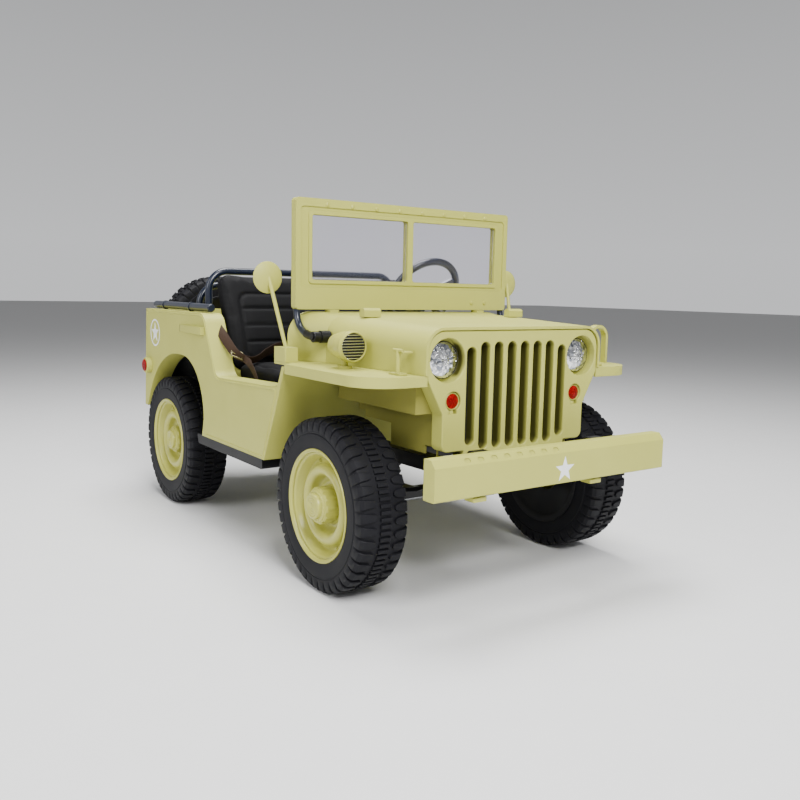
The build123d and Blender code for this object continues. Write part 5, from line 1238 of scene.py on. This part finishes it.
@dataclass
class Fittings:
    """Mirror glasses, dials on the dashboard, tabs under the bumper and the springs' shackles.

    Slabs are low, high and edge; blocks are width, height and corner radius; profiles are heights
    and radii, and the dial ring's radii count from the dial's own.
    """

    mirror_x: float = front_x(254.0) - 12.0
    mirror_y: float = 368.0
    mirror_z: float = 669.0
    glass_radius: float = 31.0
    glass_levels: tuple[float, float] = (-0.3, 0.5)
    glass_edge: float = 0.5
    dash_x: float = front_x(235.0) + 3.0
    dials: Rows = ((52.0, 545.0, 24.0), (0.0, 548.0, 17.0), (-48.0, 548.0, 17.0))
    dial_ring: Rows = ((-0.4, 0.0), (2.6, 0.0), (3.4, 1.2), (2.0, 3.0), (-0.4, 3.4))
    dial_levels: tuple[float, float] = (-0.4, 1.0)
    hand_length_share: float = 0.8
    hand_shift_share: float = 0.3
    hand_width: float = 1.6
    hand_corner: float = 0.5
    hand_slab: tuple[float, float, float] = (0.8, 1.8, 0.3)
    tab_x: float = 741.0
    tab_z: float = 248.0
    tab_reach: tuple[float, ...] = (-205.0, 118.0)
    tab_block: tuple[float, float, float] = (34.0, 30.0, 3.0)
    tab_slab: tuple[float, float, float] = (-6.0, 3.0, 1.0)
    shackle_x: float = front_x(-148.0)
    shackle_z: float = 249.0
    shackle_y: tuple[float, ...] = (-185.6, -146.4, 146.4, 185.6)
    shackle_block: tuple[float, float, float] = (34.0, 32.0, 9.0)
    shackle_slab: tuple[float, float, float] = (-2.6, 2.6, 0.8)
    pin_profile: Rows = ((-3.0, 6.4), (4.4, 6.0), (5.2, 5.0), (5.2, 0.0))

    def mirrors(self) -> None:
        """A thin silvered plate on the back of each mirror."""
        shell = Shell()
        low, high = self.glass_levels
        radius = self.glass_radius
        plate = turned_rings(((low, radius), (high, radius - self.glass_edge), (high, 0.0)), 48)
        for side, _ in SIDES:
            spot = (self.mirror_x, side * self.mirror_y, self.mirror_z)
            shell.loft(facing(spot, BACKWARD).points(plate))
        shell.piece("mirror_glasses", "car_body", MIRROR)

    def gauges(self) -> None:
        """Round dials, each with its ring, its face and a level hand."""
        rings, faces = Shell(), Shell()
        low, high = self.dial_levels
        for across, up, radius in self.dials:
            spot = facing((self.dash_x, across, up), BACKWARD)
            ring = np.array(self.dial_ring) + (0.0, radius)
            rings.loft(spot.points(turned_rings(ring, 48)), looped=True)
            faces.loft(spot.points(turned_rings(((low, radius), (high, radius), (high, 0.0)), 48)))
            hand = rounded_rectangle(radius * self.hand_length_share, self.hand_width, self.hand_corner)
            shift = (radius * self.hand_shift_share, 0.0, 0.0)
            rings.loft(spot.points(slab_rings(hand, *self.hand_slab) + shift))
        rings.piece("dial_rings", "car_body", ZINC)
        faces.piece("dial_faces", "car_body", DIAL)

    def build(self) -> None:
        """Makes the mirrors and the dials, then the tabs and the shackles with their pins."""
        self.mirrors()
        self.gauges()
        shell = Shell()
        block = slab_rings(rounded_rectangle(*self.tab_block), *self.tab_slab)
        for reach in self.tab_reach:
            shell.loft(Place((self.tab_x, reach, self.tab_z), (0, 1, 0), (1, 0, 0)).points(block))
        plate = slab_rings(rounded_rectangle(*self.shackle_block), *self.shackle_slab)
        pin = turned_rings(self.pin_profile, 12)
        for reach in self.shackle_y:
            spot = facing((self.shackle_x, reach, self.shackle_z), (0, 1 if reach > 0 else -1))
            shell.loft(spot.points(plate))
            shell.loft(spot.points(pin))
        shell.piece("bumper_tabs", "car_body", KHAKI_SMALL)


@dataclass
class Cushion:
    """A padded form: a rounded slab blown up a little as cloth, then drawn in at its seams."""

    name: str
    node: str
    place: Place
    width: float
    height: float
    depth: float
    corner: float
    seams: tuple[float, ...]
    panel: tuple[float, float, float, float]
    cap: float = 7.0
    voxel: float = 6.0
    seam_depth: float = 4.5
    ledge: tuple[float, float] | None = None
    shoulder: Rows = ((0.0, 9.0), (3.0, 3.6), (9.0, 0.0))
    pressure: float = 4.0
    quality: int = 6
    frames: int = 20
    panel_corner: float = 26.0
    panel_inset: float = 4.0
    panel_blend: float = 2.0
    outline_width: float = 3.2
    seam_width: float = 3.4
    swell: float = 2.0
    swell_run: float = 30.0
    front_share: float = 0.25

    def blank(self) -> Shell:
        """The starting slab: a rounded rectangle with both of its faces drawn in.

        The shoulder gives how far in from a face each ring lies, and how much it is drawn in.
        """
        half = self.depth / 2
        outline = rounded_rectangle(self.width, self.height, self.corner, 6)
        rows = [(step - half, draw) for step, draw in self.shoulder]
        rows += [(half - step, draw) for step, draw in reversed(self.shoulder)]
        rings = [
            np.column_stack((inset(outline, draw), np.full(len(outline), level))) for level, draw in rows
        ]
        shell = Shell()
        shell.loft(self.place.points(np.stack(rings)))
        return shell

    def remeshed(self, blank: bpy.types.Object) -> bpy.types.Mesh:
        """The same form in even small faces, without the blank's modifiers."""
        remesh = blank.modifiers.new("even_faces", "REMESH")
        remesh.mode = "VOXEL"
        remesh.voxel_size = self.voxel * MM
        graph = bpy.context.evaluated_depsgraph_get()
        mesh = bpy.data.meshes.new_from_object(blank.evaluated_get(graph))
        bpy.data.objects.remove(blank)
        return mesh

    def blown(self, mesh: bpy.types.Mesh) -> None:
        """Cloth under pressure for a few frames; no point moves further than the cap."""
        made = bpy.data.objects.new("cloth_trial", mesh.copy())
        bpy.context.scene.collection.objects.link(made)
        cloth = made.modifiers.new("cloth", "CLOTH")
        cloth.settings.use_pressure = True
        cloth.settings.uniform_pressure_force = self.pressure
        cloth.settings.effector_weights.gravity = 0.0
        cloth.settings.quality = self.quality
        rest = np.zeros(len(mesh.vertices) * 3)
        mesh.vertices.foreach_get("co", rest)
        for frame_number in range(1, self.frames + 1):
            bpy.context.scene.frame_set(frame_number)
        graph = bpy.context.evaluated_depsgraph_get()
        puffed = np.zeros(len(mesh.vertices) * 3)
        made.evaluated_get(graph).data.vertices.foreach_get("co", puffed)
        bpy.context.scene.frame_set(1)
        step = (puffed - rest).reshape(-1, 3)
        size = np.maximum(np.linalg.norm(step, axis=1, keepdims=True), 1e-9)
        step = step * np.minimum(1.0, self.cap * MM / size)
        mesh.vertices.foreach_set("co", (rest.reshape(-1, 3) + step).ravel())
        bpy.data.objects.remove(made)

    def rested(self, mesh: bpy.types.Mesh, ledge: tuple[float, float]) -> None:
        """Flattens what lies below an edge against the wall there: its X is at least the wall's."""
        flat = np.zeros(len(mesh.vertices) * 3)
        mesh.vertices.foreach_get("co", flat)
        points = flat.reshape(-1, 3)
        wall, level = ledge[0] * MM, ledge[1] * MM
        low = points[:, 2] < level
        points[low, 0] = np.maximum(points[low, 0], wall)
        mesh.vertices.foreach_set("co", points.ravel())

    def stitched(self, mesh: bpy.types.Mesh) -> None:
        """Draws the front in along the seams.

        Depth falls off as a bell curve of the distance to a channel inside the panel, or to the
        panel's rounded outline. Inside the outline the panel swells a little, with a soft edge.
        """
        flat = np.zeros(len(mesh.vertices) * 3)
        mesh.vertices.foreach_get("co", flat)
        points = flat.reshape(-1, 3) / MM
        right = unit(np.array(self.place.right, float))
        up = unit(np.array(self.place.up, float))
        front = np.cross(right, up)
        local = points - np.array(self.place.origin)
        across, rise, out = local @ right, local @ up, local @ front
        middle, level, half_wide, half_high = self.panel
        corner = self.panel_corner
        gap_across = np.abs(across - middle) - half_wide + corner
        gap_rise = np.abs(rise - level) - half_high + corner
        outside = np.hypot(np.maximum(gap_across, 0), np.maximum(gap_rise, 0))
        distance = outside + np.minimum(np.maximum(gap_across, gap_rise), 0) - corner
        depth = self.seam_depth * np.exp(-((distance / self.outline_width) ** 2))
        inside = 1 / (1 + np.exp((distance + self.panel_inset) / self.panel_blend))
        swell = self.swell * inside * np.clip(-distance / self.swell_run, 0, 1)
        for seam in self.seams:
            bell = np.exp(-(((rise - seam) / self.seam_width) ** 2))
            depth = np.maximum(depth, self.seam_depth * inside * bell)
        share = np.clip(out / (self.depth * self.front_share), 0, 1)
        points = points - (share * (depth - swell))[:, None] * front
        mesh.vertices.foreach_set("co", (points * MM).ravel())

    def build(self) -> None:
        """Blows, stitches and dresses the cushion, which stands for its CAD node."""
        blank = self.blank().piece("cushion_blank", "car_body", LEATHER)
        mesh = self.remeshed(blank)
        self.blown(mesh)
        self.stitched(mesh)
        if self.ledge is not None:
            self.rested(mesh, self.ledge)
        mesh.shade_smooth()
        made = bpy.data.objects.new(self.name, mesh)
        bpy.context.scene.collection.objects.link(made)
        mesh.materials.clear()
        mesh.materials.append(LEATHER.material())
        finer = made.modifiers.new("finer", "SUBSURF")
        finer.levels = finer.render_levels = 1
        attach(made, "car_body")
        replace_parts(made, self.node)
        LOG.info("%s: %d faces", self.name, len(mesh.polygons))


@dataclass
class Belt:
    """A brown lap belt across the seat, with a buckle near the car's right side.

    A corner is a place from the rear axle and the direction of the width there. A buckle's bar is
    its length and width, and its place along the strap and across it.
    """

    width: float = 25.0
    thickness: float = 1.8
    edge_share: float = 0.4
    tail_share: float = 0.7
    corners: Rows = (
        (300.0, -352.0, 539.0, 0.6, 1.0, 0.3),
        (326.0, -347.0, 519.0, 0.6, 0.9, 0.4),
        (352.0, -342.0, 496.0, 0.7, 0.8, 0.5),
        (376.0, -336.0, 476.0, 0.8, 0.6, 0.6),
        (392.0, -322.0, 463.0, 0.9, 0.3, 0.7),
        (398.0, -302.0, 457.0, 0.9, 0.1, 0.9),
        (388.0, -276.0, 459.0, 0.6, 0.0, 1.0),
        (366.0, -240.0, 472.0, 0.3, 0.0, 1.0),
        (345.0, -196.0, 484.0, 0.1, 0.0, 1.0),
        (334.0, -150.0, 487.0, -0.1, 0.0, 1.0),
        (328.0, -80.0, 485.0, -0.3, 0.0, 1.0),
        (326.0, 0.0, 482.0, -0.35, 0.0, 1.0),
        (328.0, 90.0, 482.0, -0.35, 0.0, 1.0),
        (336.0, 200.0, 484.0, -0.3, 0.1, 1.0),
        (350.0, 290.0, 486.0, 0.3, -0.4, 1.0),
        (338.0, 340.0, 508.0, 0.6, -0.6, 0.5),
        (300.0, 352.0, 539.0, 0.6, -1.0, 0.3),
    )
    tail: Rows = (
        (392.0, -320.0, 461.0, 1.0, 0.2, 0.5),
        (418.0, -318.0, 455.0, 0.9, 0.4, 0.4),
        (446.0, -322.5, 446.0, 0.8, 0.1, 0.6),
        (470.0, -324.0, 431.0, 0.6, 0.0, 0.8),
        (488.0, -324.5, 410.0, 0.7, 0.0, 0.7),
    )
    buckle: Place = Place((rear_x(382.0), -331.0, 473.0), (0.55, 0.75, -0.35), (0.78, -0.38, -0.5))
    bars: Rows = (
        (34.0, 3.4, -15.0, 0.0), (34.0, 3.4, 0.0, 0.0), (34.0, 3.4, 15.0, 0.0),
        (3.4, 33.4, 0.0, -15.3), (3.4, 33.4, 0.0, 15.3),
    )
    bar_corner: float = 1.5
    bar_slab: tuple[float, float, float] = (1.4, 4.8, 1.0)

    def strap(self, shell: Shell, corners: Array, width: float) -> Array:
        """A flat section carried along the curve; the corner table also turns its width.

        Args:
            shell: The piece that gets the strap.
            corners: The strap's own rows, as the class gives them.
            width: Width of the webbing.

        Returns:
            Points of the strap's middle line.
        """
        line = smooth_path(corners, 14)
        path = line[:, :3] + (REAR_X, 0.0, 0.0)
        ahead = unit(np.gradient(path, axis=0))
        wide = unit(line[:, 3:] - np.sum(line[:, 3:] * ahead, axis=1, keepdims=True) * ahead)
        up = np.cross(ahead, wide)
        section = rounded_rectangle(width, self.thickness, self.thickness * self.edge_share, 2)
        shell.loft(swept_rings(path, section, up))
        return path

    def build(self) -> None:
        """Makes the strap with its tail, and the buckle on it."""
        shell = Shell()
        path = self.strap(shell, np.array(self.corners), self.width)
        self.strap(shell, np.array(self.tail), self.width * self.tail_share)
        made = shell.piece("belt_webbing", "car_body", WEBBING, 50.0)
        self.unwrap(made, path)
        buckle = Shell()
        for length, wide, along, across in self.bars:
            bar = slab_rings(rounded_rectangle(length, wide, self.bar_corner), *self.bar_slab)
            buckle.loft(self.buckle.points(bar + (across, along, 0.0)))
        buckle.piece("belt_buckle", "car_body", BUCKLE)

    def unwrap(self, made: bpy.types.Object, path: Array) -> None:
        """Lays a UV map in metres on the webbing: first along the nearest place of the strap's
        middle line, then across it."""
        mesh = made.data
        flat = np.zeros(len(mesh.vertices) * 3)
        mesh.vertices.foreach_get("co", flat)
        points = flat.reshape(-1, 3)
        line = path * MM
        run = np.concatenate(([0.0], np.cumsum(np.linalg.norm(np.diff(line, axis=0), axis=1))))
        gap = points[:, None] - line[None]
        nearest = np.argmin(np.sum(gap**2, axis=2), axis=1)
        off = points - line[nearest]
        ahead = unit(np.gradient(line, axis=0))[nearest]
        along = run[nearest] + np.sum(off * ahead, axis=1)
        across = np.linalg.norm(off - np.sum(off * ahead, axis=1, keepdims=True) * ahead, axis=1)
        owner = np.zeros(len(mesh.loops), int)
        mesh.loops.foreach_get("vertex_index", owner)
        layer = mesh.uv_layers.new(name="strap")
        layer.data.foreach_set("uv", np.stack((across, along), 1)[owner].ravel().astype(np.float32))


@dataclass
class Studio:
    """Pale floor, soft lights, and the camera where the picture was taken from.

    Places are in metres. A light is its name, its place, its size and its power in watts.
    """

    camera: Point = (1.947382, -1.237071, 0.645988)
    azimuth: float = math.radians(48.0) + 0.120
    elevation: float = math.radians(8.0) - 0.009
    roll: float = 0.021
    lens: float = 37.63
    sensor: float = 36.0
    floor_half: float = 30.0
    lights: tuple[tuple[str, Point, float, float], ...] = (
        ("key", (3.3, -0.9, 3.1), 1.8, 260.0),
        ("fill", (0.2, -3.8, 2.4), 2.2, 85.0),
        ("top", (-0.5, 0.2, 3.6), 1.8, 190.0),
    )
    middle: Point = (0.0, 0.0, 0.4)
    sky_colour: str = "F3F4F6"
    sky_rise: tuple[float, float] = (0.05, 0.6)
    sky_strength: tuple[float, float] = (0.8, 0.22)

    def aim(self) -> Matrix:
        """Axes of the camera: right and up in the picture, then back towards the viewer."""
        back = np.array(
            (
                math.sin(self.azimuth) * math.cos(self.elevation),
                -math.cos(self.azimuth) * math.cos(self.elevation),
                math.sin(self.elevation),
            )
        )
        level = unit(np.cross(-back, (0.0, 0.0, 1.0)))
        upright = np.cross(level, -back)
        right = level * math.cos(self.roll) + upright * math.sin(self.roll)
        up = -level * math.sin(self.roll) + upright * math.cos(self.roll)
        return Matrix(np.stack((right, up, back), 1).tolist())

    def light(self, name: str, spot: Point, size: float, power: float) -> None:
        """A square soft light that faces the car's middle."""
        lamp = bpy.data.lights.new(name, "AREA")
        lamp.size = size
        lamp.energy = power
        made = bpy.data.objects.new(name, lamp)
        bpy.context.scene.collection.objects.link(made)
        made.location = spot
        aim = Vector(spot) - Vector(self.middle)
        made.rotation_euler = aim.to_track_quat("Z", "Y").to_euler()

    def sky(self) -> bpy.types.World:
        """Brighter near the horizon, as the lit paper round a studio table is."""
        world = bpy.data.worlds.new("sky")
        world.use_nodes = True
        tree = world.node_tree
        glow = tree.nodes["Background"]
        way = add_node(tree, "ShaderNodeTexCoord")
        rise = add_node(tree, "ShaderNodeSeparateXYZ", {}, {0: way.outputs["Generated"]})
        low, high = self.sky_rise
        near, far = self.sky_strength
        level = add_node(
            tree, "ShaderNodeMapRange",
            {"From Min": low, "From Max": high, "To Min": near, "To Max": far}, {"Value": rise.outputs["Z"]},
        )
        glow.inputs["Color"].default_value = linear(self.sky_colour)
        tree.links.new(level.outputs[0], glow.inputs["Strength"])
        return world

    def build(self) -> None:
        """Makes the camera, the floor, the lights and the sky."""
        scene = bpy.context.scene
        lens = bpy.data.cameras.new("camera")
        lens.lens = self.lens
        lens.sensor_width = self.sensor
        viewer = bpy.data.objects.new("camera", lens)
        scene.collection.objects.link(viewer)
        viewer.matrix_world = Matrix.Translation(self.camera) @ self.aim().to_4x4()
        scene.camera = viewer
        far = self.floor_half
        mesh = bpy.data.meshes.new("floor")
        corners = [(-far, -far, 0.0), (far, -far, 0.0), (far, far, 0.0), (-far, far, 0.0)]
        mesh.from_pydata(corners, [], [(0, 1, 2, 3)])
        floor = bpy.data.objects.new("floor", mesh)
        scene.collection.objects.link(floor)
        mesh.materials.append(PAPER.material())
        for row in self.lights:
            self.light(*row)
        scene.world = self.sky()


def dress_frame(frame: dict) -> None:
    """Gives each CAD node the finish of its slot, or of its kind where a better one fits."""
    for name, node in frame["nodes"].items():
        slots = [slot.material.name if slot.material else "" for slot in node.material_slots]
        finish = KHAKI
        for slot_name, choice in SLOT_FINISHES.items():
            if any(slot_name in text for text in slots):
                finish = choice
        if name.startswith("rim_"):
            finish = KHAKI_SMALL
        finish = NODE_FINISHES.get(name, finish)
        if not node.material_slots:
            node.data.materials.append(finish.material())
        for slot in node.material_slots:
            slot.material = finish.material()
        LOG.info("%s: %s (%s)", name, finish.name, ",".join(slots))


def build_wheels() -> None:
    """Makes the tyre and the rim of the four wheels, then those of the spare on the tail."""
    for end, place_x, reach in (("front", FRONT_X, 9.0), ("rear", REAR_X, -6.0)):
        for side, side_name in SIDES:
            name = f"{end}_{side_name}"
            body = f"wheel_{name}"
            centre = (place_x, side * WHEEL_Y, AXLE_Z)
            Tyre(name, body, centre).build()
            Rim(name, body, centre, (0.0, side, 0.0), (1.0, 0.0, 0.0), hub_reach=reach).build()
    centre = (rear_x(-250.0), -120.0, 490.0)
    outward, across = (-1.0, 0.0, 0.0), (0.0, 1.0, 0.0)
    Tyre("spare", "car_body", centre, outward, across, width=96.0).build()
    Rim("spare", "car_body", centre, outward, across, width=96.0, hub_reach=None).build()


def build_seat() -> None:
    """Makes the two padded pieces of the bench; the back leans as its CAD node does."""
    lean = math.atan2(108.0, 286.0)
    Cushion(
        name="seat_back_pad",
        node="seat_back",
        place=Place((rear_x(242.0), 0.0, 549.0), (0, 1, 0), (-math.sin(lean), 0, math.cos(lean))),
        width=628.0,
        height=274.0,
        depth=40.0,
        corner=30.0,
        seams=(-65.0, -18.0, 30.0),
        panel=(0.0, -22.0, 262.0, 96.0),
        ledge=(rear_x(299.0), 467.0),
    ).build()
    Cushion(
        name="seat_cushion_pad",
        node="seat_cushion",
        place=Place((rear_x(449.0), 0.0, 419.0), (0, 1, 0), (-1, 0, 0)),
        width=628.0,
        height=248.0,
        depth=38.0,
        corner=28.0,
        seams=(),
        panel=(0.0, 0.0, 286.0, 98.0),
    ).build()


def main() -> None:
    """Builds the studio, dresses the frame and makes every piece, in order."""
    logging.basicConfig(level=logging.INFO, format="%(name)s %(message)s")
    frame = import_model()
    Studio().build()
    dress_frame(frame)
    build_wheels()
    for assembly in (Lamps, Marks, ScreenTrim, SirenFace, Coils, Tub, Fittings):
        assembly().build()
    build_seat()
    Belt().build()


if __name__ == "__main__":
    main()
